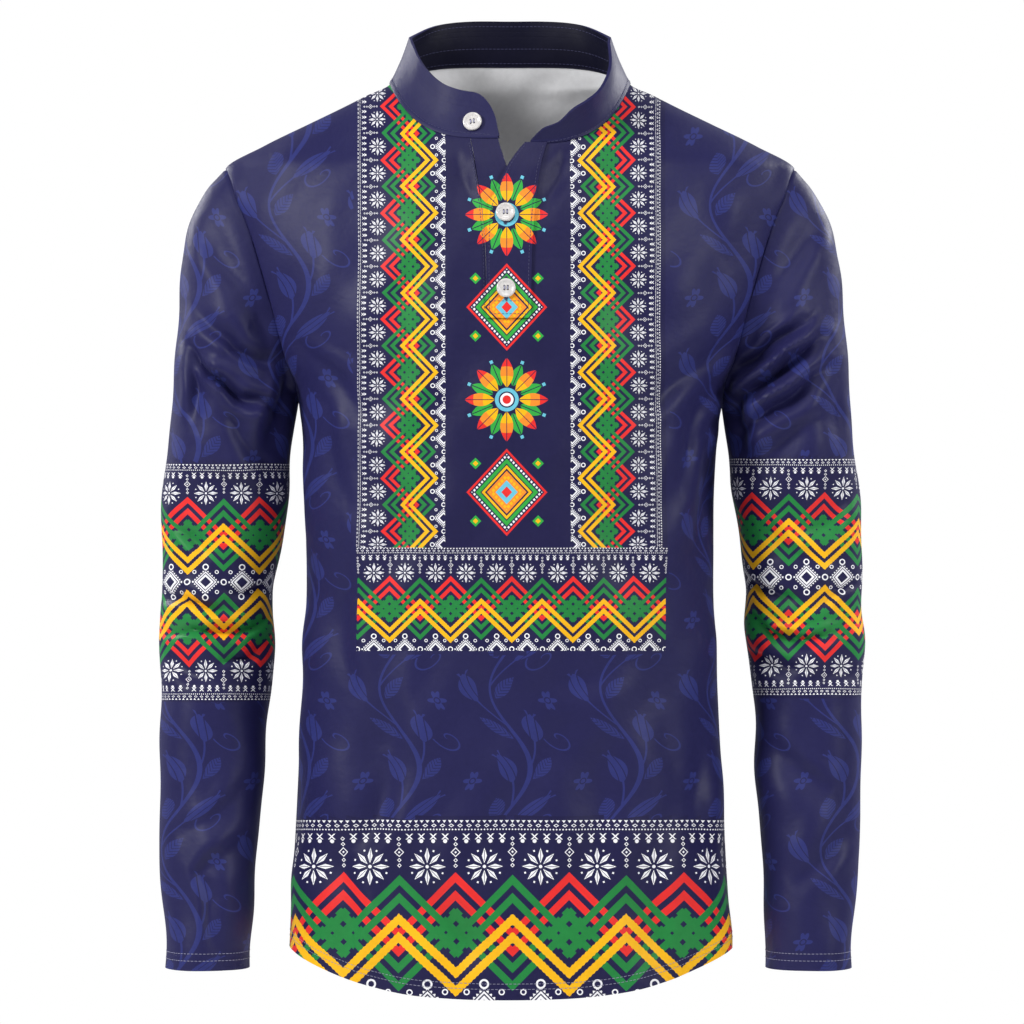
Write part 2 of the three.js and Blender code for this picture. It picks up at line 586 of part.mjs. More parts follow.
// A strip of the placket between two edges
function strip(heights, from, to, out) {
  const points = [];
  const normals = [];
  const width = STRIP_COLUMNS + 1;
  heights.forEach((height) => {
    for (let k = 0; k < width; k++) {
      const place = height(k / STRIP_COLUMNS, from, to);
      const { point, normal } = onFront(place.x, place.z, out);
      points.push(point);
      normals.push(normal);
    }
  });
  const faces = [];
  for (let j = 0; j + 1 < heights.length; j++) {
    for (let k = 0; k + 1 < width; k++) {
      const a = j * width + k;
      faces.push([a, a + 1, a + width + 1, a + width]);
    }
  }
  return { points, normals, faces };
}

// Rows of a strip, each as a function that gives its places from one edge to the other
function stripRows(top, bottom) {
  const level = (z) => (share, from, to) => ({ x: lerp(from(z), to(z), share), z });
  const inside = MIDDLE_ROWS.front.filter((z) => z < -60 && z > bottom + 3);
  return [top, ...inside.map(level), level(bottom)];
}

function placketUnder() {
  const from = (z) => placket.slitRight(z) + SEAM_GAP;
  const to = (z) => Math.min(placket.underFree(z), placket.slitLeft(z) - SEAM_GAP);
  const top = (share) => {
    const left = from(-NECK_DROP[-1]);
    const x = lerp(left, to(-NECK_DROP[-1]), share);
    return { x, z: neckHeight(-1, x) - SEAM_GAP };
  };
  const sheet = strip(stripRows(top, -PLACKET_BOTTOM + 0.6), from, to, 0);
  return wall(sheet.points, sheet.normals, facing(sheet.points, sheet.normals, sheet.faces), WALL);
}

function placketOuter() {
  const from = placket.outerFree;
  const to = (z) => placket.slitLeft(z) + PLACKET_LAP * 0.6;
  const topZ = -NECK_DROP[1] - 2 * SEAM_GAP;
  const top = (share) => ({ x: lerp(from(topZ), to(topZ), share), z: topZ });
  const rows = stripRows(top, -PLACKET_BOTTOM - PLACKET_LAP);
  const sheet = strip(rows, from, to, WALL + LAP_GAP);
  return wall(sheet.points, sheet.normals, facing(sheet.points, sheet.normals, sheet.faces), WALL);
}

function collarBand() {
  const total = NECK.at(-1).run;
  const width = COLLAR_ROWS + 1;
  const points = [];
  const normals = [];
  NECK.forEach((place) => {
    const short = Math.max(0, COLLAR_END_RADIUS - place.run);
    const round = COLLAR_END_RADIUS - Math.sqrt(COLLAR_END_RADIUS ** 2 - short ** 2);
    const share = (1 - round / place.rise.length()) * collarLeftEnd(total - place.run);
    for (let k = 0; k < width; k++) {
      const point = collarPoint(place, (k / COLLAR_ROWS) * share);
      if (k === 0) point.addScaledVector(place.up, SEAM_GAP / 2);
      points.push(point);
      normals.push(k === 0 ? place.normal : place.out);
    }
  });
  const faces = [];
  for (let i = 0; i + 1 < NECK.length; i++) {
    for (let k = 0; k < COLLAR_ROWS; k++) {
      const a = i * width + k;
      faces.push([a, a + 1, a + width + 1, a + width]);
    }
  }
  return wall(points, normals, facing(points, normals, faces), COLLAR_WALL);
}

const wasm = await Module();
wasm.setup();

function toSolid(geometry) {
  const plain = geometry.clone();
  plain.deleteAttribute("normal");
  plain.deleteAttribute("uv");
  const merged = mergeVertices(plain, 1e-4);
  const mesh = new wasm.Mesh({
    numProp: 3,
    vertProperties: new Float32Array(merged.attributes.position.array),
    triVerts: new Uint32Array(merged.index.array),
  });
  return new wasm.Manifold(mesh);
}

function fromSolid(solid) {
  const mesh = solid.getMesh();
  const geometry = new THREE.BufferGeometry();
  geometry.setAttribute("position", new THREE.Float32BufferAttribute(mesh.vertProperties, 3));
  geometry.setIndex(Array.from(mesh.triVerts));
  geometry.computeVertexNormals();
  return geometry;
}

// A four-hole button: a disc with a rim and a hollow middle, facing +Z
function button() {
  const radius = BUTTON_DIAMETER / 2;
  const profile = [
    [0, 0],
    [radius - 0.9, 0],
    [radius, 0.9],
    [radius, BUTTON_THICKNESS - 0.7],
    [radius - 0.8, BUTTON_THICKNESS],
    [radius - 2, BUTTON_THICKNESS],
    [radius - 3, BUTTON_THICKNESS - 0.8],
    [0, BUTTON_THICKNESS - 0.8],
  ].map(([x, y]) => new THREE.Vector2(x, y));
  let solid = toSolid(new THREE.LatheGeometry(profile, 20).rotateX(Math.PI / 2));
  for (const x of [-1, 1]) {
    for (const y of [-1, 1]) {
      const hole = new THREE.CylinderGeometry(HOLE_RADIUS, HOLE_RADIUS, 3 * BUTTON_THICKNESS, 8);
      hole.rotateX(Math.PI / 2).translate(HOLE_PLACE * x, HOLE_PLACE * y, 0);
      solid = solid.subtract(toSolid(hole));
    }
  }
  return fromSolid(solid);
}

// Where a button sits and the way it faces
function buttonSeat({ name, x, z }) {
  if (name !== "button_collar") return onFront(x, z, WALL + LAP_GAP + WALL / 2 + SEAM_GAP);
  const place = neckPlace("front", -1, NECK_ROWS);
  const point = collarPoint(place, (z - place.point.z) / place.rise.z);
  const crown = 0.45; // how far the band's curve rises under the button
  return { point: point.addScaledVector(place.out, COLLAR_WALL / 2 + SEAM_GAP + crown), normal: place.out };
}

const shirt = new THREE.Group();
function add(name, geometry, colour = BLUE, finish = CLOTH) {
  const mesh = new THREE.Mesh(geometry, new THREE.MeshStandardMaterial({ color: colour, ...finish }));
  mesh.name = name;
  shirt.add(mesh);
  return mesh;
}

add("front", panel("front"));
add("back", panel("back"));
add("sleeve_left", sleeve(1));
add("sleeve_right", sleeve(-1));
add("collar_band", collarBand());
add("placket_under", placketUnder());
add("placket_outer", placketOuter());
for (const spec of BUTTONS) {
  const mesh = add(spec.name, button(), 0xeeebe6, { roughness: 0.25, metalness: 0 });
  const seat = buttonSeat(spec);
  mesh.position.copy(seat.point);
  mesh.quaternion.setFromUnitVectors(vec(0, 0, 1), seat.normal);
}

export default shirt;
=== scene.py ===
import math

import bpy
import numpy as np
from bpy.props import FloatProperty, FloatVectorProperty, PointerProperty
from mathutils import Matrix, Vector


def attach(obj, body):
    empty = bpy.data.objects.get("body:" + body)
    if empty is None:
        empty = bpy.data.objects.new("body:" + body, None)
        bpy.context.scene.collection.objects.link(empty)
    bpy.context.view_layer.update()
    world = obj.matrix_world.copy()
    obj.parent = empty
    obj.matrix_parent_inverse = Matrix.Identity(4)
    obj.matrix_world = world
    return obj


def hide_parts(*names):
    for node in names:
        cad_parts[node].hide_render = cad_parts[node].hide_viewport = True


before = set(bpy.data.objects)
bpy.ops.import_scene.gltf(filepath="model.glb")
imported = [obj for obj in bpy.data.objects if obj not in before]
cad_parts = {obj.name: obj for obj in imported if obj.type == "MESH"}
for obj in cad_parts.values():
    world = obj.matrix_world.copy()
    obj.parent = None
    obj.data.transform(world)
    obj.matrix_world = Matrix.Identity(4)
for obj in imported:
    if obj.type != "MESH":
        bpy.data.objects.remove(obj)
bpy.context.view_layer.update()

bl_info = {
    "name": "Band-collar henley shirt",
    "version": (1, 0, 0),
    "blender": (4, 5, 0),
    "location": "3D View > Sidebar > Shirt",
    "description": "Dresses the packed shirt with folded, printed jersey, stitching and buttons",
    "category": "Object",
}

MM = 0.001
QUARTER = math.pi / 2

# ---------------------------------------------------------------- the pattern pieces, in millimetres
# Lengths and places here are the same as the solids' own.
NECK_HALF_WIDTH = 95.4
NECK_DROP = {-1: 48.5, 1: 52.0}
NECK_BACK_RISE = 17.0
SHOULDER_DROP = 68.5
ARMPIT_DROP = 247.0
ARMHOLE_HALF_DEPTH = 46.0
ARMHOLE_SKEW = 0.12
SIDE_LENGTH = 688.0
HEM_CURVE = {"front": 34.7, "back": 42.0}
PLACKET_BOTTOM = 184.0
PLACKET_LAP = 7.0
COLLAR_RISE = 37.0
COLLAR_RIGHT_TAPER = 27.0  # length of the rounded end at the wearer's right
COLLAR_LEFT_REACH = 16.0
OPEN_RISE = 27.0  # of the band where its left front is turned outwards
COLLAR_FLARE = 1.5
LAP_GAP = 0.5
SEAM_GAP = 0.3
SEAM_DIP = 0.9  # how far the cloth sinks at the armhole's seam
HEM_STITCHES = (8.4, 12.6)  # the stitch rows' heights above the edge of hem and cuffs
HOLE_PLACE, HOLE_RADIUS = 1.35, 0.8  # of a button's four holes

NECK_ROWS, ARMHOLE_ROWS, BODY_ROWS = 6, 14, 22
SLEEVE_ROWS = 25
FINE = 6  # rows of the fine cloth for each of those
FINE_COLUMNS = 80
FINE_SLEEVE = 9
STRIP_PLACES = 3 * FINE  # of the neck's seam over each placket strip
MIDDLE_ROWS = {
    "front": [-67, -89, -112, -136, -160, -184, -186.5, -208],
    "back": [-4, -30, -60, -92, -124, -158, -190, -222],
}

# height, half width, depth of front and back, middle, squareness of front and back
BODY = np.array([
    (17, 95.4, 35, 52, 0, 1.6, 2.0), (0, 95.4, 36, 56, 0, 1.6, 2.0),
    (-10, 114.5, 44, 60, 1, 1.6, 2.0), (-20, 134.5, 53, 64, 2, 1.6, 1.97),
    (-32, 159.5, 62, 70, 3, 1.62, 1.94), (-50, 196.6, 77, 79, 4.5, 1.66, 1.9),
    (-68.5, 227.5, 87, 87, 6, 1.75, 1.9), (-90, 232, 94, 94, 7, 1.86, 1.95),
    (-105, 228, 99, 98, 7, 1.95, 2.0), (-144, 216, 108, 106, 7, 2.1, 2.1),
    (-188, 198, 115, 111, 7, 2.25, 2.2), (-220, 183.5, 118, 112, 7, 2.32, 2.3),
    (-247, 169, 120, 112, 7, 2.35, 2.35), (-293, 164.4, 121, 110, 6, 2.4, 2.4),
    (-341, 162.3, 121, 107, 5, 2.4, 2.4), (-400, 162, 119, 104, 4, 2.4, 2.4),
    (-453, 163.6, 117, 103, 3, 2.4, 2.4), (-533, 167.6, 116, 105, 2, 2.4, 2.4),
    (-613, 171.6, 117, 109, 1, 2.4, 2.4), (-677, 175, 118, 112, 0, 2.4, 2.4),
    (-740, 177, 119, 114, 0, 2.4, 2.4),
])
# outer edge's height and reach (right, left), inner edge's height and reach (right, left), depth, y
SLEEVE = np.array([
    (-68.5, 227.5, 227.5, -247, 169, 169, 46, 6), (-85, 242.5, 241.5, -250, 170, 170, 48, 6),
    (-104, 251.5, 251, -255, 171, 170.5, 50, 6), (-128, 259, 259, -262, 171.7, 171, 53, 6),
    (-155, 263.5, 264.5, -271, 172.6, 171.6, 55.5, 6), (-186, 265.5, 267.5, -283, 173.5, 172.4, 57, 6),
    (-220, 267.5, 270, -299, 175, 174, 57.5, 6.5), (-256, 271, 273, -318, 177, 177, 57, 7.5),
    (-292, 274.4, 275.5, -340, 179.5, 181.5, 55.5, 9), (-328, 276, 278, -364, 182, 184.5, 54, 10),
    (-362, 278, 280.5, -388, 185.6, 185.6, 53, 11), (-392, 278, 282, -408, 189, 188, 52, 11),
    (-420, 279, 280.5, -428, 191, 189, 51, 10), (-447, 279.5, 282.5, -450, 190.5, 192, 50, 8),
    (-478, 280, 283, -478, 192, 195, 49, 5), (-512, 279.5, 281, -511, 195, 196.8, 48, 1),
    (-548, 278.5, 279.5, -547, 198.4, 197.6, 47, -4), (-585, 278, 278, -584, 200, 199.4, 46, -9),
    (-622, 277.5, 276, -621, 202, 201, 45, -14), (-658, 276.5, 275, -658, 204.5, 202.6, 43.5, -18),
    (-692, 274.5, 272, -692, 207.2, 203.4, 42, -21), (-704.5, 274, 271.5, -704.5, 207.8, 204, 41.5, -22),
])
SLEEVE_POWER = 2.15
CAP_SHARE = 0.34
# height, the slit's right and left edge, the free edge of the under and outer strip
PLACKET = np.array([
    (-44, -32, 27, -10.5, 19), (-50, -31, 25.5, -9, 14), (-60, -29, 22.5, -6, 5.5),
    (-72, -27, 19.5, -2, -2.5), (-90, -24, 17, 8, -11), (-110, -21.5, 15, 13, -17.5),
    (-145, -19, 12.8, 12.2, -18.5), (-200, -18, 12, 11.4, -18),
])

# Folds: the line that each follows, its half width and its depth. A negative depth is a ridge.
FRONT_FOLDS = [
    ([(-131, -365), (-132, -420), (-128, -480)], 12, 6), ([(158, -245), (156, -330), (149, -430)], 11, 5.5),
    ([(-92, -535), (-104, -575), (-120, -612)], 13, 5), ([(146, -520), (148, -570), (154, -620)], 12, 5),
    ([(-172, -205), (-140, -236), (-108, -272)], 8, 3), ([(172, -205), (140, -234), (102, -266)], 8, 4.4),
    ([(-168, -226), (-146, -258), (-134, -310)], 7, 2), ([(168, -226), (148, -262), (138, -320)], 7, 3.6),
    ([(-160, -262), (-140, -300), (-128, -352)], 9, 1.8), ([(160, -266), (136, -306), (122, -360)], 8, 2.8),
    ([(-62, -630), (-48, -664), (-26, -700)], 16, 4), ([(-46, -54), (-38, -74), (-31, -102)], 6, 3.2),
    ([(-39, -52), (-33, -66), (-29, -82)], 3, 1.8), ([(40, -56), (37, -78), (29, -108)], 7, 3.6),
    ([(56, -58), (50, -80), (39, -106)], 8, 2), ([(-152, -82), (-160, -120), (-170, -172)], 14, 1),
    ([(150, -82), (160, -122), (172, -168)], 14, 1.4), ([(-86, -440), (-96, -490), (-100, -545)], 14, 3),
    ([(72, -548), (64, -600), (76, -660)], 15, 3.4), ([(104, -615), (114, -660), (112, -712)], 11, 3.4),
    ([(-134, -600), (-126, -650), (-128, -700)], 11, 3.6),
    ([(-70, -392), (-20, -412), (30, -404)], 18, 1.6), ([(98, -452), (60, -476), (10, -482)], 16, 1.8),
    ([(-104, -300), (-84, -350), (-86, -410)], 14, 2), ([(96, -296), (88, -350), (94, -404)], 14, 2),
    ([(30, -560), (6, -610), (12, -668)], 18, 2.2), ([(-104, -250), (-66, -290), (-50, -330)], 14, 1.8),
    ([(118, -470), (126, -540), (118, -600)], 13, 3),
]
BACK_FOLDS = [
    ([(-150, -120), (-110, -165), (-60, -240)], 16, 5), ([(150, -122), (108, -170), (64, -238)], 16, 5),
    ([(-150, -230), (-128, -300), (-120, -360)], 12, 4.5),
    ([(148, -236), (130, -300), (116, -352)], 12, 4.5), ([(-140, -380), (-105, -430), (-70, -478)], 15, 5),
    ([(142, -372), (110, -420), (70, -470)], 15, 5), ([(-60, -436), (0, -424), (60, -446)], 18, 3.6),
    ([(-50, -480), (10, -494), (66, -482)], 17, 3), ([(-76, -540), (-62, -600), (-52, -676)], 18, 4),
    ([(80, -556), (70, -610), (56, -680)], 18, 4), ([(0, -540), (-8, -610), (4, -690)], 20, 2.6),
    ([(-130, -560), (-124, -620), (-130, -690)], 14, 3), ([(134, -560), (126, -630), (132, -696)], 14, 3),
    ([(-40, -60), (-56, -110), (-50, -170)], 18, 2), ([(44, -64), (52, -118), (46, -176)], 18, 2),
    ([(0, -250), (-12, -310), (0, -380)], 22, 2.2),
]
# The sleeves' folds as above, by arm (1 is the wearer's left) and by front (-1) or back (1)
SLEEVE_FOLDS = {
    (1, -1): [
        ([(170, -237), (200, -214), (232, -190)], 5, 5.2),
        ([(172, -249), (221, -213), (244, -190)], 4.5, -3.8),
        ([(176, -258), (212, -230), (246, -203)], 5, 7.2),
        ([(181, -266), (216, -241), (246, -212)], 5, -2.6),
        ([(180, -280), (214, -256), (252, -226)], 5.5, 5.8),
        ([(171, -237), (179, -277), (190, -300)], 9, 8.5),
        ([(182, -314), (214, -288), (256, -264)], 9, 3.6), ([(262, -232), (258, -262), (262, -296)], 8, 3),
        ([(188, -421), (208, -438), (230, -444), (260, -438)], 4.2, 5.2),
        ([(185, -394), (203, -404), (228, -411)], 4, 4),
        ([(188, -452), (206, -462), (232, -466)], 4.5, 3.6),
        ([(276, -398), (256, -406), (240, -420)], 4.5, 3.4),
        ([(276, -326), (250, -350), (222, -360)], 9, 3.2),
        ([(196, -352), (216, -372), (244, -378)], 8, 3.4), ([(276, -466), (250, -478), (224, -474)], 8, 3),
        ([(204, -520), (226, -548), (254, -566)], 10, 3), ([(268, -590), (246, -622), (222, -640)], 10, 3),
        ([(252, -110), (232, -136), (206, -160)], 12, 2.6),
    ],
    (1, 1): [
        ([(180, -256), (212, -226), (254, -196)], 10, 5), ([(184, -300), (222, -276), (262, -256)], 10, 4),
        ([(196, -386), (232, -400), (276, -404)], 8, 5), ([(198, -420), (232, -432), (276, -432)], 8, 5),
        ([(196, -402), (230, -416), (270, -418)], 6, -2.4),
        ([(206, -552), (232, -582), (262, -606)], 11, 3.6),
        ([(272, -486), (244, -508), (216, -512)], 10, 3),
        ([(256, -118), (236, -150), (208, -176)], 12, 2.8),
    ],
    (-1, -1): [
        ([(246, -185), (218, -213), (184, -228)], 5.5, 5.2),
        ([(255, -197), (241, -222), (218, -241), (186, -251)], 4.5, -3.8),
        ([(252, -208), (238, -232), (214, -252), (186, -262)], 5.5, 7.4),
        ([(250, -214), (250, -240), (247, -272)], 6, 5.6),
        ([(176, -221), (180, -261), (193, -296)], 9, 8.5),
        ([(222, -262), (206, -284), (190, -322)], 9, 5.4),
        ([(266, -352), (254, -364), (240, -376)], 4.5, 3.8),
        ([(280, -413), (262, -410), (243, -418), (220, -422)], 4.2, 5.2),
        ([(276, -438), (248, -437), (217, -439), (188, -426)], 4.2, 5.2),
        ([(232, -463), (208, -458), (188, -443)], 4, 4), ([(190, -398), (206, -406), (226, -404)], 4, 3.2),
        ([(188, -336), (212, -322), (244, -312)], 9, 3.2),
        ([(208, -596), (243, -628), (230, -690)], 7, 3.2),
        ([(276, -452), (252, -470), (226, -480)], 8, 3.4),
        ([(206, -556), (236, -586), (264, -600)], 8, 2.2),
        ([(252, -112), (230, -140), (204, -166)], 12, 2.6),
    ],
    (-1, 1): [
        ([(180, -262), (210, -232), (252, -202)], 10, 5), ([(186, -312), (220, -284), (262, -262)], 10, 4),
        ([(198, -390), (232, -402), (276, -410)], 8, 5), ([(198, -428), (232, -436), (272, -436)], 8, 5),
        ([(198, -409), (230, -420), (270, -424)], 6, -2.4),
        ([(208, -540), (232, -572), (262, -594)], 11, 3.6),
        ([(270, -480), (244, -500), (214, -508)], 10, 3),
        ([(254, -124), (232, -156), (206, -180)], 12, 2.8),
    ],
}
# Slow waves of the whole cloth: wave length across and down, phase, height
BILLOWS = [(88, 210, 0.4, 0.9), (61, -150, 1.9, 0.6), (140, 96, 3.1, 0.8), (-47, 64, 0.9, 0.35)]

# The camera, from which the print was laid out
CAMERA = (1.6, -4500.0, -342.4)
CAMERA_LENS = 197.75
FLOOR_RADIUS, FLOOR_HEIGHT = 3000, -1450
SURROUNDINGS = 0.2  # how strongly the white world lights the shirt

BUTTONS = [("button_collar", -25, -35), ("button_upper", -3.5, -108.5), ("button_lower", -3, -168)]


def mix(a, b, t):
    return a + (b - a) * t


def smooth(t):
    t = np.clip(t, 0, 1)
    return t * t * (3 - 2 * t)


def unit(v):
    return v / np.maximum(np.linalg.norm(v, axis=-1, keepdims=True), 1e-12)


def dot(a, b):
    return np.sum(a * b, axis=-1, keepdims=True)


class Curve:
    """A smooth curve through a table's places, with no overshoot between them."""

    def __init__(self, x, y):
        order = np.argsort(x)
        self.x, self.y = np.asarray(x, float)[order], np.asarray(y, float)[order]
        slope = np.diff(self.y) / np.diff(self.x)
        inner = slope[:-1] * slope[1:]
        total = np.where(inner > 0, slope[:-1] + slope[1:], 1)
        middle = np.where(inner > 0, 2 * inner / total, 0)
        self.tangent = np.concatenate([slope[:1], middle, slope[-1:]])

    def __call__(self, at):
        at = np.asarray(at, float)
        i = np.clip(np.searchsorted(self.x, at, side="left") - 1, 0, len(self.x) - 2)
        step = self.x[i + 1] - self.x[i]
        t = np.clip((at - self.x[i]) / step, 0, 1)
        bend = self.tangent[i] * t * (1 - t) ** 2 - self.tangent[i + 1] * t * t * (1 - t)
        return mix(self.y[i], self.y[i + 1], t * t * (3 - 2 * t)) + step * bend


HALF, FRONT_DEPTH, BACK_DEPTH, MIDDLE, FRONT_POWER, BACK_POWER = (
    Curve(BODY[:, 0], BODY[:, k]) for k in range(1, 7))
DEPTH = {"front": FRONT_DEPTH, "back": BACK_DEPTH}
POWER = {"front": FRONT_POWER, "back": BACK_POWER}
SLIT_RIGHT, SLIT_LEFT, UNDER_FREE, OUTER_FREE = (Curve(PLACKET[:, 0], PLACKET[:, k]) for k in range(1, 5))
# how much of its full height the collar's left end has at each distance from the end
COLLAR_LEFT_END = Curve([0, 11, 22, 36, 50], [0.06, 0.4, 0.52, 0.88, 1])


def body_point(face, side, phi, z):
    """A point of the body: phi is 0 at the middle of front or back and a quarter turn at the side."""
    phi, z = np.broadcast_arrays(np.asarray(phi, float), np.asarray(z, float))
    power = POWER[face](z)
    sine, cosine = np.abs(np.sin(phi)), np.maximum(0, np.cos(phi))
    reach = (sine ** power + cosine ** power) ** (-1 / power)
    depth = DEPTH[face](z) * reach * cosine
    x = np.sign(phi) * side * HALF(z) * reach * sine
    return np.stack([x, MIDDLE(z) + (-depth if face == "front" else depth), z], axis=-1)


def angle_at(face, x, z):
    """The angle at which the body is x wide at this height."""
    x, z = np.broadcast_arrays(np.asarray(x, float), np.asarray(z, float))
    power = POWER[face](z)
    share = np.clip(np.abs(x) / HALF(z), 1e-9, 1)
    angle = np.arctan2(1, np.maximum(0, share ** -power - 1) ** (1 / power))
    return np.where(share < 2e-9, 0, angle)


def armhole_angle(face, z):
    level = (z + (SHOULDER_DROP + ARMPIT_DROP) / 2) / ((ARMPIT_DROP - SHOULDER_DROP) / 2)
    depth = ARMHOLE_HALF_DEPTH * np.sqrt(np.maximum(0, 1 - level ** 2)) * (1 - ARMHOLE_SKEW * level)
    share = depth / DEPTH[face](z)
    power = POWER[face](z)
    return np.arctan2((1 - share ** power) ** (1 / power), share)


def body_normal(face, side, phi, z):
    """The way out of the body's surface. Front and back share it at the side line."""
    turn, rise = 0.002, 0.5
    phi, z = np.broadcast_arrays(np.asarray(phi, float), np.asarray(z, float))
    round_ = body_point(face, side, phi + turn, z) - body_point(face, side, phi - turn, z)
    round_ = np.where((phi > QUARTER - turn)[..., None], [0.0, 1.0, 0.0], round_)
    up = body_point(face, side, phi, z + rise) - body_point(face, side, phi, z - rise)
    normal = unit(np.cross(round_, up))
    here = body_point(face, side, phi, z)
    out = np.stack([here[..., 0], here[..., 1] - MIDDLE(z), np.zeros_like(z)], axis=-1)
    return np.where(dot(normal, out) < 0, -normal, normal)


def fold_depth(folds, x, z):
    """How far soft, uneven troughs sink the cloth at a place, with low ridges beside them."""
    total = np.zeros_like(x)
    for number, (line, wide, deep) in enumerate(folds):
        nearest = np.full_like(x, 1e9)
        signed, along, length = np.zeros_like(x), np.zeros_like(x), 0.0
        for (x1, z1), (x2, z2) in zip(line, line[1:]):
            dx, dz = x2 - x1, z2 - z1
            run = math.hypot(dx, dz)
            t = np.clip(((x - x1) * dx + (z - z1) * dz) / run ** 2, 0, 1)
            off = np.hypot(x - x1 - t * dx, z - z1 - t * dz)
            closer = off < nearest
            way = np.sign((x - x1) * dz - (z - z1) * dx)
            nearest = np.where(closer, off, nearest)
            signed = np.where(closer, off * way, signed)
            along = np.where(closer, length + t * run, along)
            length += run
        wiggle = 0.22 * wide * np.sin(along / wide * 0.8 + number * 2.4)
        offset = signed + wiggle
        width = wide * (1 + 0.3 * np.tanh(offset / wide)) * (1 + 0.16 * np.sin(along / wide * 0.5 + number))
        trough = np.exp(-(offset / width) ** 2)
        lips = np.exp(-((np.abs(offset) - 2.1 * width) / (1.1 * width)) ** 2)
        fade = 0.18 + 0.82 * np.sin(math.pi * np.clip(along / length, 0, 1)) ** 0.8
        total += deep * fade * (trough - 0.36 * lips)
    return total


def billow(x, z):
    total = np.zeros_like(x)
    for across, down, phase, height in BILLOWS:
        total += height * np.sin(2 * math.pi * (x / across + z / down) + phase)
    return total


def fold_way(normal):
    """The way in which folds sink: turned towards front and back, so that they shift the print little."""
    return unit(normal * [0.4, 1, 0.4])


def shirt_sizes():
    return bpy.context.scene.shirt_sizes


def strength():
    return shirt_sizes().fold_strength


def panel_folds(face, x, z):
    """Folds and slow waves of front or back, with the placket kept calm."""
    folds = FRONT_FOLDS if face == "front" else BACK_FOLDS
    calm = np.ones_like(x)
    if face == "front":
        calm = np.maximum(smooth((np.abs(x) - 22) / 30), smooth((-z - 195) / 40))
    flat = np.maximum(smooth((np.abs(x) - 30) / 12), smooth((-z - 50) / 22)) if face == "front" else 1
    return (fold_depth(folds, x, z) + billow(x, z) * calm) * flat * strength()


def armhole_z(row):
    middle = -(SHOULDER_DROP + ARMPIT_DROP) / 2
    return middle + (ARMPIT_DROP - SHOULDER_DROP) / 2 * np.cos(math.pi * row / ARMHOLE_ROWS)


def armhole(side):
    """The armhole's loop, down the front and up the back, and its normals."""
    rows = np.arange(ARMHOLE_ROWS * FINE) / FINE
    front_z, back_z = armhole_z(rows), armhole_z(ARMHOLE_ROWS - rows)
    front_phi = np.where(rows == 0, QUARTER, armhole_angle("front", front_z))
    back_phi = np.where(rows == 0, QUARTER, armhole_angle("back", back_z))
    loop = np.concatenate([
        body_point("front", side, front_phi, front_z), body_point("back", side, back_phi, back_z)])
    down = np.array([float(HALF(-SHOULDER_DROP) - HALF(-ARMPIT_DROP)), 0, ARMPIT_DROP - SHOULDER_DROP])
    away = unit(np.array([side * down[2], 0, -down[0]]))
    normal = unit(np.cross(np.roll(loop, -1, 0) - np.roll(loop, 1, 0), away))
    out = loop - loop.mean(0)
    normal = np.where(dot(normal, out) < 0, -normal, normal)
    return loop, normal


def neck_height(side, x):
    return -NECK_DROP[side] * (1 - np.abs(x / NECK_HALF_WIDTH) ** 4) ** 0.85


def neckline(face, side, share):
    """The neckline on one side, from the shoulder to the middle, as x and height."""
    if face == "back":
        x = NECK_HALF_WIDTH * np.cos(share * QUARTER)
        return x, NECK_BACK_RISE * np.maximum(0, 1 - (x / NECK_HALF_WIDTH) ** 4) ** 0.9
    drop = NECK_DROP[side]
    end = float(-SLIT_RIGHT(-drop) if side < 0 else SLIT_LEFT(-drop))
    x = mix(NECK_HALF_WIDTH, end, np.sin(share * QUARTER) ** 2 * 0.35 + share * 0.65)
    return x, neck_height(side, np.minimum(x, NECK_HALF_WIDTH))


def hem_z(face, phi):
    z = np.full_like(phi, -SIDE_LENGTH)
    share = np.abs(body_point(face, 1, phi, z)[..., 0]) / HALF(z)
    return -SIDE_LENGTH - HEM_CURVE[face] * np.maximum(0, 1 - share ** 2.7) ** 0.95


def panel_place(face, side, row, share):
    """Angle and height of a place of a half panel; share is 0 at the side and 1 at the middle."""
    top = np.minimum(row, ARMHOLE_ROWS)
    outer = armhole_z(top)
    neck_x, neck_z = neckline(face, side, np.minimum(top, NECK_ROWS) / NECK_ROWS)
    end_z = neckline(face, side, np.array(1.0))[1]
    lower_z = np.interp(top, range(NECK_ROWS, ARMHOLE_ROWS + 1), [float(end_z), *MIDDLE_ROWS[face]])
    inner_z = np.where(top <= NECK_ROWS, neck_z, lower_z)
    inner_x = np.where(top <= NECK_ROWS, neck_x, 0)
    if face == "front":
        slit = -SLIT_RIGHT(inner_z) if side < 0 else SLIT_LEFT(inner_z)
        inner_x = np.where((top > NECK_ROWS) & (inner_z >= -PLACKET_BOTTOM), slit, inner_x)
    ends = (top == 0) | (top == ARMHOLE_ROWS)
    edge = np.where(ends, QUARTER, armhole_angle(face, outer))
    middle = np.where(top == 0, QUARTER, np.where(inner_x < 1e-6, 0, angle_at(face, inner_x, inner_z)))
    phi = mix(edge, middle, share)
    z = mix(outer, inner_z, share)
    return phi, np.where(row > ARMHOLE_ROWS, mix(z, hem_z(face, phi), (row - ARMHOLE_ROWS) / BODY_ROWS), z)


def grid_normals(grid, along_wraps=False):
    """Normals of a grid of points, on the side that the cross product of its two ways gives."""
    down = np.gradient(grid, axis=0)
    if along_wraps:
        across = (np.roll(grid, -1, 1) - np.roll(grid, 1, 1)) / 2
    else:
        across = np.gradient(grid, axis=1)
    return unit(np.cross(down, across))


def as_seen(points):
    """Places as the camera sees them in the plane of the side seams, where the print was laid out."""
    scale = -CAMERA[1] / (points[..., 1] - CAMERA[1])
    return CAMERA[0] + (points[..., 0] - CAMERA[0]) * scale, CAMERA[2] + (points[..., 2] - CAMERA[2]) * scale


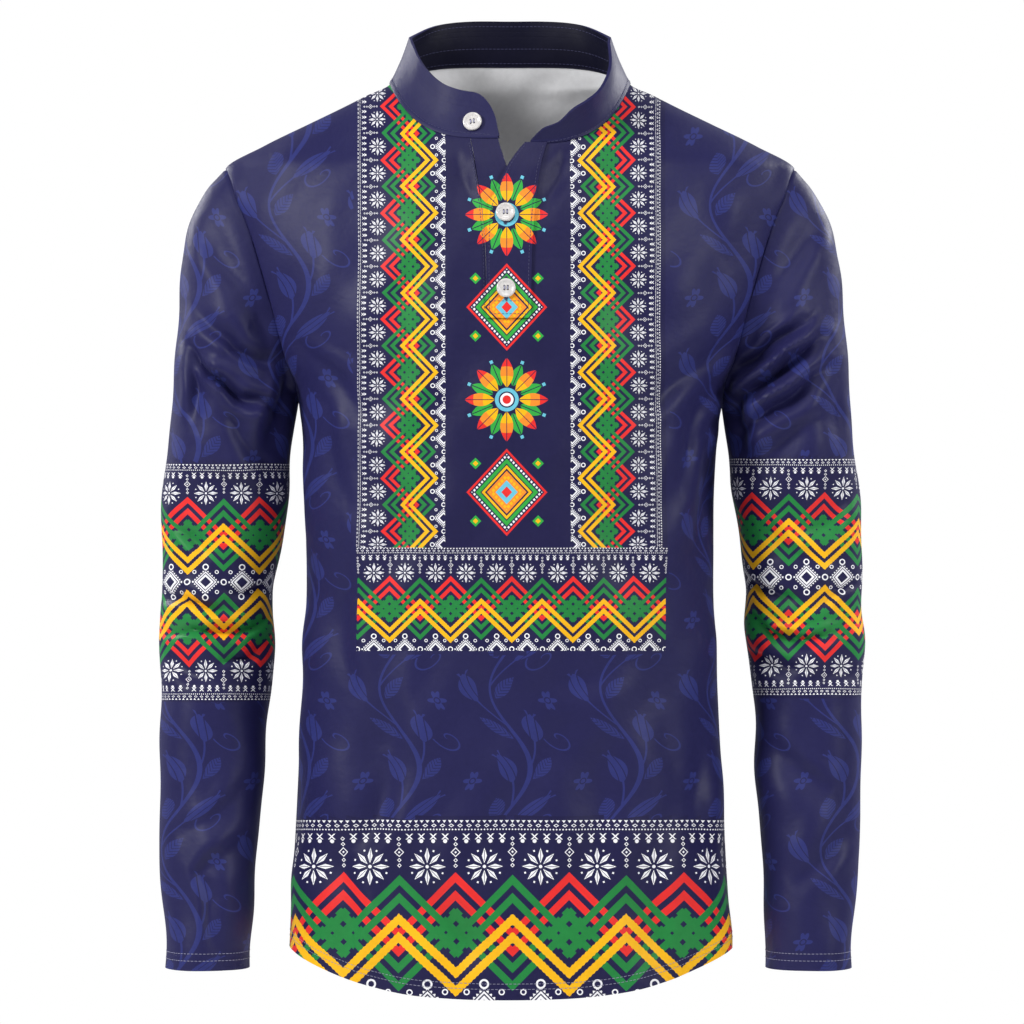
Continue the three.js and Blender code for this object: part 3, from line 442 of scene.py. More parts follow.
def half_panel(face, side):
    """One half of front or back, from the side (column 0) to the middle."""
    rows = np.arange((ARMHOLE_ROWS + BODY_ROWS) * FINE + 1) / FINE
    columns = np.linspace(0, 1, FINE_COLUMNS + 1)
    row, share = np.meshgrid(rows, columns, indexing="ij")
    phi, z = panel_place(face, side, row, share)
    base = body_point(face, side, phi, z)
    normal = body_normal(face, side, phi, z)
    seen_x, seen_z = as_seen(base) if face == "front" else (base[..., 0], base[..., 2])
    step = np.maximum(np.abs(np.diff(seen_x, axis=1)), 0.65 * np.hypot(*np.diff(base[..., :2], axis=1).T).T)
    run = np.concatenate([np.cumsum(step[:, ::-1], axis=1)[:, ::-1], np.zeros((len(rows), 1))], axis=1)
    printed = np.stack([seen_x[:, -1:] + side * run, -seen_z, z - hem_z(face, phi)], axis=-1)
    at_neck = np.minimum(1, smooth((1 - share) * 8) + smooth((row - NECK_ROWS) / 1.5))
    clear = smooth(share * 10 / 1.6) * smooth(row / 2) * at_neck
    point = base - fold_way(normal) * (panel_folds(face, base[..., 0], z) * clear)[..., None]
    loop, loop_normal = armhole(side)
    place = (np.arange(0, ARMHOLE_ROWS * FINE + 1) if face == "front"
             else -np.arange(0, ARMHOLE_ROWS * FINE + 1)) % len(loop)
    last = ARMHOLE_ROWS * FINE
    point[:last + 1, 0] = loop[place] - loop_normal[place] * SEAM_DIP
    out = grid_normals(point)
    out = np.where(dot(out, normal) < 0, -out, out)
    out[:, 0] = normal[:, 0]
    out[0] = normal[0]
    out[:last + 1, 0] = loop_normal[place]
    return point, out, printed, phi


def panel(face):
    """Both halves of front or back as one grid of points, with the numbers of shared middle points."""
    right, left = half_panel(face, -1), half_panel(face, 1)
    point, out, printed = (np.concatenate([a, b[:, ::-1]], axis=1) for a, b in zip(right[:3], left[:3]))
    joined = right[3][:, -1] < 1e-6
    columns = point.shape[1]
    number = np.arange(point.shape[0] * columns).reshape(-1, columns)
    middle = FINE_COLUMNS
    number[joined, middle + 1] = number[joined, middle]
    for grid in (point, out):
        both = (grid[joined, middle] + grid[joined, middle + 1]) / 2
        both[:, 0] = 0
        grid[joined, middle] = grid[joined, middle + 1] = both
    out = unit(out)
    seams = neck_seams()
    rows = NECK_ROWS * FINE + 1
    out[:rows, middle] = seams[face, -1]
    out[:rows, middle + 1] = seams[face, 1]
    out[0, middle], out[0, middle + 1] = seams["back", -1][0], seams["back", 1][0]
    keep = np.ones((point.shape[0] - 1, columns - 1), bool)
    keep[:, middle] = False
    return point, out, printed, number, keep


def collar_top(base):
    open_ = np.where(base[..., 0] > 0, smooth(-base[..., 1] / 70), 0)
    away = np.where(base[..., 1] < 0, mix(0.86, 1.22, open_), 0.9)
    return np.stack([base[..., 0] * mix(0.833, 1.02, open_), base[..., 1] * away,
                     base[..., 2] + mix(COLLAR_RISE, OPEN_RISE, open_)], axis=-1)


def neck_places():
    """The neck seam from the collar's right end round the back to its left end."""
    drop = NECK_DROP[-1]
    free, slit = float(UNDER_FREE(-drop)), float(SLIT_RIGHT(-drop)) + SEAM_GAP
    rows = np.arange(NECK_ROWS * FINE + 1) / FINE
    part = np.arange(1, STRIP_PLACES + 1) / STRIP_PLACES
    strip = mix(slit, free, part[::-1])
    runs = [("front", -1, np.abs(strip), neck_height(-1, strip))]
    runs += [("front", -1, *neckline("front", -1, rows[:0:-1] / NECK_ROWS))]
    runs += [("back", -1, *neckline("back", -1, rows / NECK_ROWS))]
    runs += [("back", 1, *neckline("back", 1, rows[-2::-1] / NECK_ROWS))]
    runs += [("front", 1, *neckline("front", 1, rows[1:] / NECK_ROWS))]
    strip = mix(float(SLIT_LEFT(-NECK_DROP[1])) - SEAM_GAP, COLLAR_LEFT_REACH, part)
    runs += [("front", 1, strip, neck_height(1, strip))]
    points, normals = [], []
    for face, side, x, z in runs:
        phi = np.where(np.abs(x) < 1e-6, 0, angle_at(face, x, z))
        points.append(body_point(face, side, phi, z))
        normals.append(body_normal(face, side, phi, z))
    point, panel_normal = np.concatenate(points), np.concatenate(normals)
    tangent = unit(np.concatenate([
        point[1:2] - point[:1], point[2:] - point[:-2], point[-1:] - point[-2:-1]]))
    rise = collar_top(point) - point
    out = unit(np.cross(tangent, rise))
    flat = point * [1, 1, 0]
    out = np.where(dot(out, flat) < 0, -out, out)
    seam = unit(panel_normal + out)
    run = np.concatenate([[0], np.cumsum(np.linalg.norm(np.diff(point, axis=0), axis=1))])
    return {"point": point, "rise": rise, "out": out, "seam": seam, "run": run}


def neck_seams():
    """The seam's normals for each half panel, from the shoulder to the middle."""
    seam = neck_places()["seam"]
    count = NECK_ROWS * FINE
    strip = STRIP_PLACES
    front_right = seam[strip:strip + count][::-1]
    back = seam[strip + count:strip + count + 2 * count + 1]
    front_left = seam[-count - strip:-strip]
    return {
        ("front", -1): np.concatenate([back[:1], front_right]), ("back", -1): back[:count + 1],
        ("back", 1): back[count:][::-1], ("front", 1): np.concatenate([back[-1:], front_left]),
    }


def collar_point(places, up):
    bow = -COLLAR_FLARE * np.sin(math.pi * up)[..., None]
    return places["point"][..., None, :] + places["rise"][..., None, :] * up[..., None] \
        + places["out"][..., None, :] * bow


def collar_grid():
    """The standing band, with rounded ends and a slight unevenness."""
    places = neck_places()
    rows = 22
    left_end = places["run"][-1] - places["run"]
    end = np.minimum(places["run"], left_end)
    taper = 1 - np.minimum(1, (places["run"] + 0.05) / COLLAR_RIGHT_TAPER)
    share = np.sqrt(1 - taper ** 2) * COLLAR_LEFT_END(left_end)
    up = np.linspace(0, 1, rows + 1)[None, :] * share[:, None]
    point = collar_point(places, up)
    wave = 0.5 * np.sin(places["run"] / 19)[:, None] * np.sin(math.pi * up) \
        + 0.35 * np.sin(places["run"] / 7.3 + 1)[:, None] * up
    ridge = 0.55 * np.exp(-((up * COLLAR_RISE - 1.6) / 0.9) ** 2)  # where the band's seam is turned in
    point = point + places["out"][:, None, :] * (wave * smooth(up * 3) + ridge)[..., None]
    out = grid_normals(point)
    out = np.where(dot(out, places["out"][:, None, :]) < 0, -out, out)
    out[:, 0] = places["seam"]
    edge = (share[:, None] - up) * np.linalg.norm(places["rise"], axis=1)[:, None]
    printed = np.stack([np.broadcast_to(places["run"][:, None], up.shape), -up * COLLAR_RISE,
                        np.minimum(edge, end[:, None])], axis=-1)
    return point, out, printed


def sleeve_grid(side):
    """Rings that settle from the armhole's loop to the sleeve's tube, then the folds."""
    number = np.arange(len(SLEEVE))
    use = (2, 5) if side > 0 else (1, 4)
    out_z, in_z, deep, y = (Curve(number, SLEEVE[:, k]) for k in (0, 3, 6, 7))
    out_x, in_x = (Curve(number, SLEEVE[:, k]) for k in use)
    loop, loop_normal = armhole(side)
    around = len(loop)
    angle = 2 * math.pi * np.arange(around) / around
    reach = np.abs(np.cos(angle)) ** SLEEVE_POWER + np.abs(np.sin(angle)) ** SLEEVE_POWER
    reach = reach ** (-1 / SLEEVE_POWER)
    share = np.arange(SLEEVE_ROWS * FINE_SLEEVE + 1) / (SLEEVE_ROWS * FINE_SLEEVE)
    i = share * (len(SLEEVE) - 1)
    outer = np.stack([side * out_x(i), y(i), out_z(i)], axis=-1)
    inner = np.stack([side * in_x(i), y(i), in_z(i)], axis=-1)
    centre, half = (outer + inner) / 2, (outer - inner) / 2
    ring = centre[:, None] + half[:, None] * (reach * np.cos(angle))[None, :, None]
    ring[..., 1] -= deep(i)[:, None] * reach * np.sin(angle)
    settle = 1 - smooth(share / CAP_SHARE)
    base = ring + (loop - ring[0])[None] * settle[:, None, None]
    normal = grid_normals(base, True)
    normal = np.where(dot(normal, base - centre[:, None]) < 0, -normal, normal)
    seen_x, seen_z = as_seen(base)
    length = np.concatenate([[0], np.cumsum(np.linalg.norm(np.diff(centre, axis=0), axis=1))])
    printed = sleeve_print(side, base, seen_x, seen_z, angle)
    printed[..., 2] = (length[-1] - length)[:, None]
    x, z = np.abs(base[..., 0]), base[..., 2]
    sink = billow(x * 1.4, z) * 0.8
    for faced in (-1, 1):
        facing = smooth(faced * normal[..., 1] * 1.5 + 0.08)
        sink = sink + fold_depth(SLEEVE_FOLDS[side, faced], x, z) * facing
    sink = sink * strength() * smooth(share * SLEEVE_ROWS / 2)[:, None]
    point = base - fold_way(normal) * sink[..., None]
    point[0] = loop - loop_normal * SEAM_DIP
    out = grid_normals(point, True)
    out = np.where(dot(out, normal) < 0, -out, out)
    out[0] = loop_normal
    return point, out, printed


def sleeve_print(side, base, seen_x, seen_z, angle):
    """Print places round a sleeve, run out from the middle of its front to both sides and the back."""
    around = len(angle)
    middle = around // 4
    order = (np.arange(around + 1) + middle) % around
    x, y = seen_x[:, order], base[..., 1][:, order]
    step_x = np.diff(x, axis=1)
    size = np.maximum(np.abs(step_x), 0.65 * np.hypot(step_x, np.diff(y, axis=1)))
    run = np.concatenate([np.zeros((len(base), 1)), np.cumsum(size, axis=1)], axis=1)[:, :around]
    half = around // 2
    total = run[:, -1:] + size[:, -1:]
    run = np.where(np.arange(around) <= half, run, run - total)
    out = np.empty_like(run)
    out[:, order[:around]] = run
    return np.stack([seen_x[:, middle:middle + 1] - side * out, -seen_z, np.zeros_like(out)], axis=-1)


def front_place(x, z, out):
    """A point of the front given by x and height, moved out of the cloth's middle, and its normal."""
    x, z = np.broadcast_arrays(np.asarray(x, float), np.asarray(z, float))
    side = np.where(x < 0, -1.0, 1.0)
    phi = angle_at("front", x, z)
    point, normal = body_point("front", 1, phi, z), body_normal("front", 1, phi, z)
    turn = np.stack([side, np.ones_like(side), np.ones_like(side)], axis=-1)
    point, normal = point * turn, normal * turn
    sink = panel_folds("front", point[..., 0], z)
    return point + normal * out - fold_way(normal) * sink[..., None], normal


# ---------------------------------------------------------------- meshes


def new_object(name, points, faces, materials, face_materials=None, attributes=None, sharp=50):
    """An object of points in millimetres and faces, with a material index for each face."""
    mesh = bpy.data.meshes.new(name)
    mesh.from_pydata((np.asarray(points) * MM).tolist(), [], [list(map(int, f)) for f in faces])
    for material in materials:
        mesh.materials.append(material)
    if face_materials is not None:
        mesh.polygons.foreach_set("material_index", np.asarray(face_materials, np.int32))
    for key, values in (attributes or {}).items():
        layer = mesh.attributes.new(key, "FLOAT_VECTOR", "POINT")
        layer.data.foreach_set("vector", np.asarray(values, np.float32).ravel())
    mesh.validate()
    mesh.polygons.foreach_set("use_smooth", np.ones(len(mesh.polygons), bool))
    mesh.set_sharp_from_angle(angle=math.radians(sharp))
    mesh.update()
    piece = bpy.data.objects.new(name, mesh)
    bpy.context.collection.objects.link(piece)
    return piece


def cloth(name, grid, out, printed, thickness, materials, region, number=None, keep=None, wraps=False):
    """A closed thin shell round a grid of points. region gives each outer face's material index."""
    rows, columns = grid.shape[:2]
    if number is None:
        number = np.arange(rows * columns).reshape(rows, columns)
    wide = np.concatenate([number, number[:, :1]], axis=1) if wraps else number
    quads = np.stack([wide[:-1, :-1], wide[1:, :-1], wide[1:, 1:], wide[:-1, 1:]], axis=-1)
    quads = quads.reshape(-1, 4) if keep is None else quads[keep]
    flat, normals, prints = grid.reshape(-1, 3), out.reshape(-1, 3), printed.reshape(-1, 3)
    side = np.cross(flat[quads[:, 1]] - flat[quads[:, 0]], flat[quads[:, 2]] - flat[quads[:, 0]])
    if np.sum(side * normals[quads[:, 0]]) < 0:
        quads = quads[:, ::-1]
    count = len(flat)
    edges = np.concatenate([np.stack([quads[:, k], quads[:, (k + 1) % 4]], axis=1) for k in range(4)])
    code, back = edges[:, 0] * count + edges[:, 1], edges[:, 1] * count + edges[:, 0]
    rim = edges[~np.isin(code, back)]
    rim_faces = np.stack([rim[:, 1], rim[:, 0], rim[:, 0] + count, rim[:, 1] + count], axis=1)
    faces = np.concatenate([quads, quads[:, ::-1] + count, rim_faces])
    used, renumbered = np.unique(faces, return_inverse=True)
    faces = renumbered.reshape(-1, 4)
    points = np.concatenate([flat + normals * thickness / 2, flat - normals * thickness / 2])[used]
    shown = region(prints[quads].mean(axis=1), prints[quads])
    inside = np.full(len(quads), len(materials) - 1)
    groups = np.concatenate([shown, inside, np.zeros(len(rim_faces), int)])
    values = np.concatenate([prints, prints])[used]
    return new_object(name, points, faces, materials, groups, {"print": values})


def plain(middles, corners):
    return np.zeros(len(middles), int)


def stitch_line(points, normals, pitch):
    """Places at an even pitch along a line, with the way along and the way out."""
    run = np.concatenate([[0], np.cumsum(np.linalg.norm(np.diff(points, axis=0), axis=1))])
    count = max(2, int(run[-1] / pitch))
    at = (np.arange(count) + 0.5) * run[-1] / count
    place = np.stack([np.interp(at, run, points[:, k]) for k in range(3)], axis=1)
    ahead = np.stack([np.interp(at + 0.4, run, points[:, k]) for k in range(3)], axis=1)
    behind = np.stack([np.interp(at - 0.4, run, points[:, k]) for k in range(3)], axis=1)
    normal = unit(np.stack([np.interp(at, run, normals[:, k]) for k in range(3)], axis=1))
    return place, unit(ahead - behind), normal


def thread_piece(name, lines, length, radius, material, sides=6):
    """Spindle-shaped stitches at given places, all in one mesh."""
    angle = 2 * math.pi * np.arange(sides) / sides
    ring = np.stack([np.zeros(sides), np.cos(angle), np.sin(angle)], axis=1)
    shape = [np.array([[-0.5 * length, 0, -0.6 * radius]])]
    for at in (-0.36, 0.36):
        shape.append(ring * radius + [at * length, 0, 0])
    shape.append(np.array([[0.5 * length, 0, -0.6 * radius]]))
    local = np.concatenate(shape)
    last = 2 * sides + 1
    pattern = []
    for k in range(sides):
        n = (k + 1) % sides
        pattern += [(0, 1 + n, 1 + k), (last, 1 + sides + k, 1 + sides + n)]
        pattern += [(1 + k, 1 + n, 1 + sides + n), (1 + k, 1 + sides + n, 1 + sides + k)]
    place, along, normal = (np.concatenate([line[k] for line in lines]) for k in range(3))
    across = unit(np.cross(normal, along))
    up = np.cross(along, across)
    points = (place[:, None] + local[None, :, :1] * along[:, None] + local[None, :, 1:2] * across[:, None]
              + local[None, :, 2:] * up[:, None]).reshape(-1, 3)
    faces = (np.array(pattern)[None] + (np.arange(len(place)) * len(local))[:, None, None]).reshape(-1, 3)
    return new_object(name, points, faces, [material], attributes={"print": points}, sharp=80)


def sampled(grid, row, column):
    """Places of a grid between its points."""
    row = np.clip(row, 0, grid.shape[0] - 1.001)
    column = np.clip(column, 0, grid.shape[1] - 1.001)
    r, c = row.astype(int), column.astype(int)
    a, b = (row - r)[:, None], (column - c)[:, None]
    return mix(mix(grid[r, c], grid[r, c + 1], b), mix(grid[r + 1, c], grid[r + 1, c + 1], b), a)


# ---------------------------------------------------------------- materials

VINE_SCALE = 1.18


class Field:
    """A number that changes over the cloth, written as arithmetic and kept as Math nodes."""

    def __init__(self, tree, socket):
        self.tree, self.socket = tree, socket

    def math(self, operation, *others, first=None):
        node = self.tree.nodes.new("ShaderNodeMath")
        node.operation = operation
        values = (self, *others) if first is None else (first, self)
        for slot, value in zip(node.inputs, values):
            if isinstance(value, Field):
                self.tree.links.new(value.socket, slot)
            else:
                slot.default_value = value
        return Field(self.tree, node.outputs[0])

    def __add__(self, other):
        return self.math("ADD", other)

    def __sub__(self, other):
        return self.math("SUBTRACT", other)

    def __rsub__(self, other):
        return self.math("SUBTRACT", first=other)

    def __mul__(self, other):
        return self.math("MULTIPLY", other)

    def __truediv__(self, other):
        return self.math("DIVIDE", other)

    def __or__(self, other):
        return self.math("MAXIMUM", other)

    def __and__(self, other):
        return self.math("MULTIPLY", other)

    def __abs__(self):
        return self.math("ABSOLUTE")

    def __lt__(self, other):
        return self.math("LESS_THAN", other)

    def __gt__(self, other):
        return self.math("GREATER_THAN", other)

    def near(self, value, reach):
        return self.math("COMPARE", value, reach)

    def every(self, period):
        """Distance to the nearest multiple of a period."""
        return self.math("PINGPONG", period / 2)

    def wrapped(self, period):
        """Signed distance to the nearest multiple of a period."""
        return self.math("WRAP", period / 2, -period / 2)

    def without(self, other):
        return self.math("GREATER_THAN", other)

    def reach(self, other):
        return (self * self + other * other).math("SQRT")

    def angle(self, x):
        return self.math("ARCTAN2", x)

    __radd__, __rmul__ = __add__, __mul__


def blend(tree, factor, first, second):
    node = tree.nodes.new("ShaderNodeMix")
    node.data_type = "RGBA"
    for slot, value in ((node.inputs[0], factor), (node.inputs[6], first), (node.inputs[7], second)):
        value = value.socket if isinstance(value, Field) else value
        if isinstance(value, bpy.types.NodeSocket):
            tree.links.new(value, slot)
        else:
            slot.default_value = value
    return node.outputs[2]


def start_group(name, inputs, outputs):
    """A new node group with named sockets. Returns it, its fields by name and its output node."""
    tree = bpy.data.node_groups.new(name, "ShaderNodeTree")
    kinds = {"number": "NodeSocketFloat", "colour": "NodeSocketColor", "place": "NodeSocketVector"}
    for socket, kind in inputs:
        tree.interface.new_socket(socket, in_out="INPUT", socket_type=kinds[kind])
    for socket, kind in outputs:
        tree.interface.new_socket(socket, in_out="OUTPUT", socket_type=kinds[kind])
    source, result = tree.nodes.new("NodeGroupInput"), tree.nodes.new("NodeGroupOutput")
    fields = {socket: Field(tree, source.outputs[socket]) for socket, _ in inputs}
    return tree, fields, result


def folk_band_group():
    """The woven-look border: small white rows, snowflakes, and red, green and gold zigzags."""
    colours = [(name, "colour") for name in ("Ground", "Light", "Red", "Green", "Gold")]
    tree, given, result = start_group(
        "folk_band", [("Along", "number"), ("Across", "number"), *colours],
        [("Color", "colour"), ("Mask", "number")])
    period = 113.2  # all lengths here are in the band's own units, with 0 at its top row
    s, t = given["Along"], given["Across"]
    peak = s.every(period)
    valley = period / 2 - peak
    post = s.every(period / 2)
    flake = period / 4 - post
    lean = t - valley
    red = lean.near(57, 5) | lean.near(75, 5)
    level = t - 113
    spread = abs(level)
    ring = peak + spread
    p, q = valley + level, valley - level
    holes = ((p - 9).every(18) < 3.4) & ((q - 9).every(18) < 3.4)
    lattice = ((valley + spread) < 27).without(holes)
    green = ring.near(53, 5) | ring.near(35, 5) | lattice
    climb = t - peak * 0.96 + s.every(3.4) * 0.55
    gold = climb.near(99.5, 5.4) | climb.near(117.5, 5.4)
    row_of_points = (s.every(5.66) < (2.9 - t) * 0.72) & (t > 0.2)
    chain = (s.every(8.7) * 0.66 + abs(t - 5.4)).near(1.45, 0.42)
    dots = (s.every(3.14) + abs(t - 9.4)) < 1.0
    white = row_of_points | chain | dots
    tassel = abs(abs(flake - 12) - 6)
    rise = t - 16.4
    bow = (tassel - abs(rise)).near(0, 0.85).without(rise.near(0, 2.9) < 0.5)
    white = white | bow | (tassel.reach(t - 21) < 2)
    drop = abs(t - 32)
    beads = post + abs(abs(drop - 10.75) - 2.75)
    lozenge = post + drop
    white = white | beads.near(1.7, 0.5) | lozenge.near(4.3, 0.6) | (lozenge < 1.3)
    height = t - 46.5
    radius = flake.reach(height)
    turn = height.angle(flake).every(math.pi / 4)
    side = radius * turn
    bulge = radius - 11
    petals = ((side + abs(bulge) * 0.34) < 2.6).without((side < 0.28) & (abs(bulge) < 5.4))
    seeds = radius.near(16.8, 0.9) & ((radius * (math.pi / 8 - turn)) < 0.9)
    white = white | petals | (radius < 1.7) | seeds
    white = white | flake.reach(t - 164).near(4, 1.0) | (flake - 17.5).reach(t - 172).near(2.5, 0.65)
    rest = abs(t - 188)
    white = white | post.reach(rest).near(4, 1.0)
    diamond, skew = flake + rest, flake - rest
    lace = diamond.near(12.8, 4.2).without(diamond.near(13.6, 0.9))
    teeth = diamond.near(20.4, 1.6) & (skew.every(6.4) < (22.6 - diamond) * 0.7)
    white = (white | lace | teeth) & (t < 191)
    colour = given["Ground"]
    for mask, name in ((white, "Light"), (red, "Red"), (green, "Green"), (gold, "Gold")):
        colour = blend(tree, mask, colour, given[name])
    tree.links.new(colour, result.inputs["Color"])
    tree.links.new((white | red | green | gold).socket, result.inputs["Mask"])
    return tree


def tonal_vine_group():
    """A tone-on-tone pattern of leafy vines, blossoms and tendrils."""
    tree, given, result = start_group(
        "tonal_vine", [("Across", "number"), ("Down", "number")], [("Mask", "number")])
    u, v = (given[way] * VINE_SCALE for way in ("Across", "Down"))
    wave = (v * (2 * math.pi / 152)).math("SINE")
    x = (u - wave * 19).wrapped(104)
    side = abs(x)
    stem = side < wave * 0.7 + 1.8
    local = (v + (x < 0) * 38).wrapped(76)
    out = side - 21
    along, across = out * 0.5 - local * 0.87, abs(out * 0.87 + local * 0.5)
    bud = (across < 8 - along * along * 0.034).without(across.near(3.1, 0.45))
    stalk = (across < 0.85) & along.near(-27, 15)
    sepals = (across < (along - 9) * 0.6) & (along < 17.5) & (across > (along - 9) * 0.34)
    lower = (v + (x > 0) * 38).wrapped(76)
    near_stem = side - 12.5
    rib, off = near_stem * 0.64 - lower * 0.77, abs(near_stem * 0.77 + lower * 0.64)
    leaf = (off < 6.2 - rib * rib * 0.036) & ((rib - off * 0.9).every(3.6) > 0.42)
    fx, fy = 52 - side, (v + 26).wrapped(76)
    radius, turn = fx.reach(fy), fy.angle(fx)
    star = (radius < (turn * 5).math("COSINE") * 2.6 + 6.4).without(radius.near(2.6, 0.6))
    curl_x, curl_y = (x + 66).wrapped(104), (v - 10).wrapped(76)
    tendril = (curl_x.reach(curl_y) - curl_y.angle(curl_x) * 2.1 - 7.4).near(0, 0.75)
    mask = stem | bud | stalk | sepals | leaf | star | tendril
    tree.links.new(mask.socket, result.inputs["Mask"])
    return tree


def centre_motif_group():
    """A rosette of pointed petals, or a stepped lozenge, in bright folk colours."""
    names = ("Ground", "Light", "Red", "Orange", "Gold", "Green", "Blue")
    tree, given, result = start_group(
        "centre_motif",
        [("Across", "number"), ("Down", "number"), ("Lozenge", "number"),
         *((name, "colour") for name in names)],
        [("Color", "colour"), ("Mask", "number")])
    x, y, kind = given["Across"], given["Down"], given["Lozenge"]
    radius = x.reach(y)
    turn = y.angle(x).every(math.pi / 4)
    side, other = radius * turn, radius * (math.pi / 8 - turn)
    out = radius - 21.5
    petal = (side < 5.2 - out * out * 0.036).without(side < 0.3)
    mid = radius - 21
    leaf = (other < 4.5 - mid * mid * 0.05).without(other < 0.35)
    rosette = [
        (leaf, "Green"), (petal, "Gold"), (petal & (radius > 19), "Orange"), (petal & (radius > 26.5), "Red"),
        (radius.near(32.2, 1.3) & (other < 1.3), "Blue"), (radius.near(8, 1.5), "Blue"),
        (radius < 5.4, "Light"), (radius < 3.4, "Red"),
    ]
    diamond, skew = abs(x) * 1.08 + abs(y), abs(x) * 1.08 - abs(y)
    corner = abs(abs(x) - 25) + abs(abs(y) - 23)
    lozenge = [
        (diamond.near(33.6, 1.3), "Red"), (diamond.near(29.6, 1.2) & (skew.every(4.4) < 1.3), "Light"),
        (diamond.near(25, 2), "Green"), (diamond.near(20.4, 1.4), "Gold"), (diamond < 17.2, "Orange"),
        (diamond.near(13, 1.6) & (skew.every(5) < 1.7), "Gold"), (diamond < 9.6, "Blue"),
        (diamond < 4.6, "Red"),
        (corner < 4.6, "Green"), (corner < 2.2, "Gold"),
    ]
    colour, cover = given["Ground"], None
    for shapes, chosen in ((rosette, kind < 0.5), (lozenge, kind > 0.5)):
        for mask, name in shapes:
            mask = mask & chosen
            colour = blend(tree, mask, colour, given[name])
            cover = mask if cover is None else cover | mask
    tree.links.new(colour, result.inputs["Color"])
    tree.links.new(cover.socket, result.inputs["Mask"])
    return tree


def jersey_finish_group():
    """Fine wales and courses, slow mottling, small creases and stitched hem grooves."""
    tree, given, result = start_group(
        "jersey_finish", [("Place", "place"), ("Color", "colour"), ("Creases", "number")],
        [("Color", "colour"), ("Roughness", "number"), ("Height", "number")])
    parts = tree.nodes.new("ShaderNodeSeparateXYZ")
    tree.links.new(given["Place"].socket, parts.inputs[0])
    u, v, edge = (Field(tree, parts.outputs[k]) for k in range(3))
    knit = (u * (2 * math.pi / 0.9)).math("SINE") * 0.5 + (v * (2 * math.pi / 0.7)).math("SINE") * 0.3
    flat = tree.nodes.new("ShaderNodeCombineXYZ")
    tree.links.new(u.socket, flat.inputs[0])
    tree.links.new(v.socket, flat.inputs[1])
    noises = []
    for scale, detail in ((0.035, 3), (0.22, 2)):
        noise = tree.nodes.new("ShaderNodeTexNoise")
        tree.links.new(flat.outputs[0], noise.inputs["Vector"])
        noise.inputs["Scale"].default_value, noise.inputs["Detail"].default_value = scale, detail
        noises.append(Field(tree, noise.outputs["Fac"]))
    slow, quick = noises
    shade = tree.nodes.new("ShaderNodeHueSaturation")
    tree.links.new(given["Color"].socket, shade.inputs["Color"])
    tree.links.new((quick * 0.16 + slow * 0.1 + 0.87).socket, shade.inputs["Value"])
    lower, upper = (edge.near(above, 0.5) for above in HEM_STITCHES)
    creases = given["Creases"]
    height = knit * 0.05 + slow * creases * 3.2 + quick * creases * 0.5 - (lower | upper) * 0.5
    tree.links.new(shade.outputs[0], result.inputs["Color"])
    tree.links.new((slow * 0.14 + quick * 0.06 + 0.4).socket, result.inputs["Roughness"])
    tree.links.new(height.socket, result.inputs["Height"])
    return tree


GROUPS = {}


def group_node(tree, key, maker):
    if key not in GROUPS:
        GROUPS[key] = maker()
    node = tree.nodes.new("ShaderNodeGroup")
    node.node_tree = GROUPS[key]
    return node


def linear(colour):
    """A colour property as the RGBA that a socket takes."""
    return (*colour, 1.0)


def fill(tree, node, values):
    for name, value in values.items():
        if isinstance(value, Field):
            tree.links.new(value.socket, node.inputs[name])
        elif isinstance(value, bpy.types.NodeSocket):
            tree.links.new(value, node.inputs[name])
        else:
            node.inputs[name].default_value = value


def start_material(name):
    material = bpy.data.materials.new(name)
    material.use_nodes = True
    tree = material.node_tree
    shader = tree.nodes["Principled BSDF"]
    return material, tree, shader


def print_place(tree):
    place = tree.nodes.new("ShaderNodeAttribute")
    place.attribute_name = "print"
    parts = tree.nodes.new("ShaderNodeSeparateXYZ")
    tree.links.new(place.outputs["Vector"], parts.inputs[0])
    return place.outputs["Vector"], Field(tree, parts.outputs[0]), Field(tree, parts.outputs[1])


def jersey_material(name, layout, creases=1.0):
    """Printed jersey: layout gives the print's colour from the places across and down the cloth."""
    material, tree, shader = start_material(name)
    place, u, v = print_place(tree)
    colour = layout(tree, u, v)
    finish = group_node(tree, "jersey_finish", jersey_finish_group)
    fill(tree, finish, {"Place": place, "Color": colour, "Creases": creases})
    bump = tree.nodes.new("ShaderNodeBump")
    bump.inputs["Strength"].default_value = 0.55
    bump.inputs["Distance"].default_value = 0.0006
    tree.links.new(finish.outputs["Height"], bump.inputs["Height"])
    tree.links.new(finish.outputs["Color"], shader.inputs["Base Color"])
    tree.links.new(finish.outputs["Roughness"], shader.inputs["Roughness"])
    tree.links.new(bump.outputs["Normal"], shader.inputs["Normal"])
    shader.inputs["Specular IOR Level"].default_value = 0.2
    shader.inputs["Sheen Weight"].default_value = 0.06
    shader.inputs["Sheen Tint"].default_value = (0.5, 0.52, 1, 1)
    shader.inputs["Sheen Roughness"].default_value = 0.4
    return material


def colours():
    return bpy.context.scene.shirt_colours


def ground_layout(tree, u, v):
    tint = colours()
    vine = group_node(tree, "tonal_vine", tonal_vine_group)
    fill(tree, vine, {"Across": u, "Down": v})
    return blend(tree, vine.outputs["Mask"], linear(tint.navy), linear(tint.vine))


def band_node(tree, along, across):
    tint = colours()
    band = group_node(tree, "folk_band", folk_band_group)
    fill(tree, band, {
        "Along": along, "Across": across, "Ground": linear(tint.band_ground), "Light": linear(tint.light),
        "Red": linear(tint.red), "Green": linear(tint.green), "Gold": linear(tint.gold)})
    return band


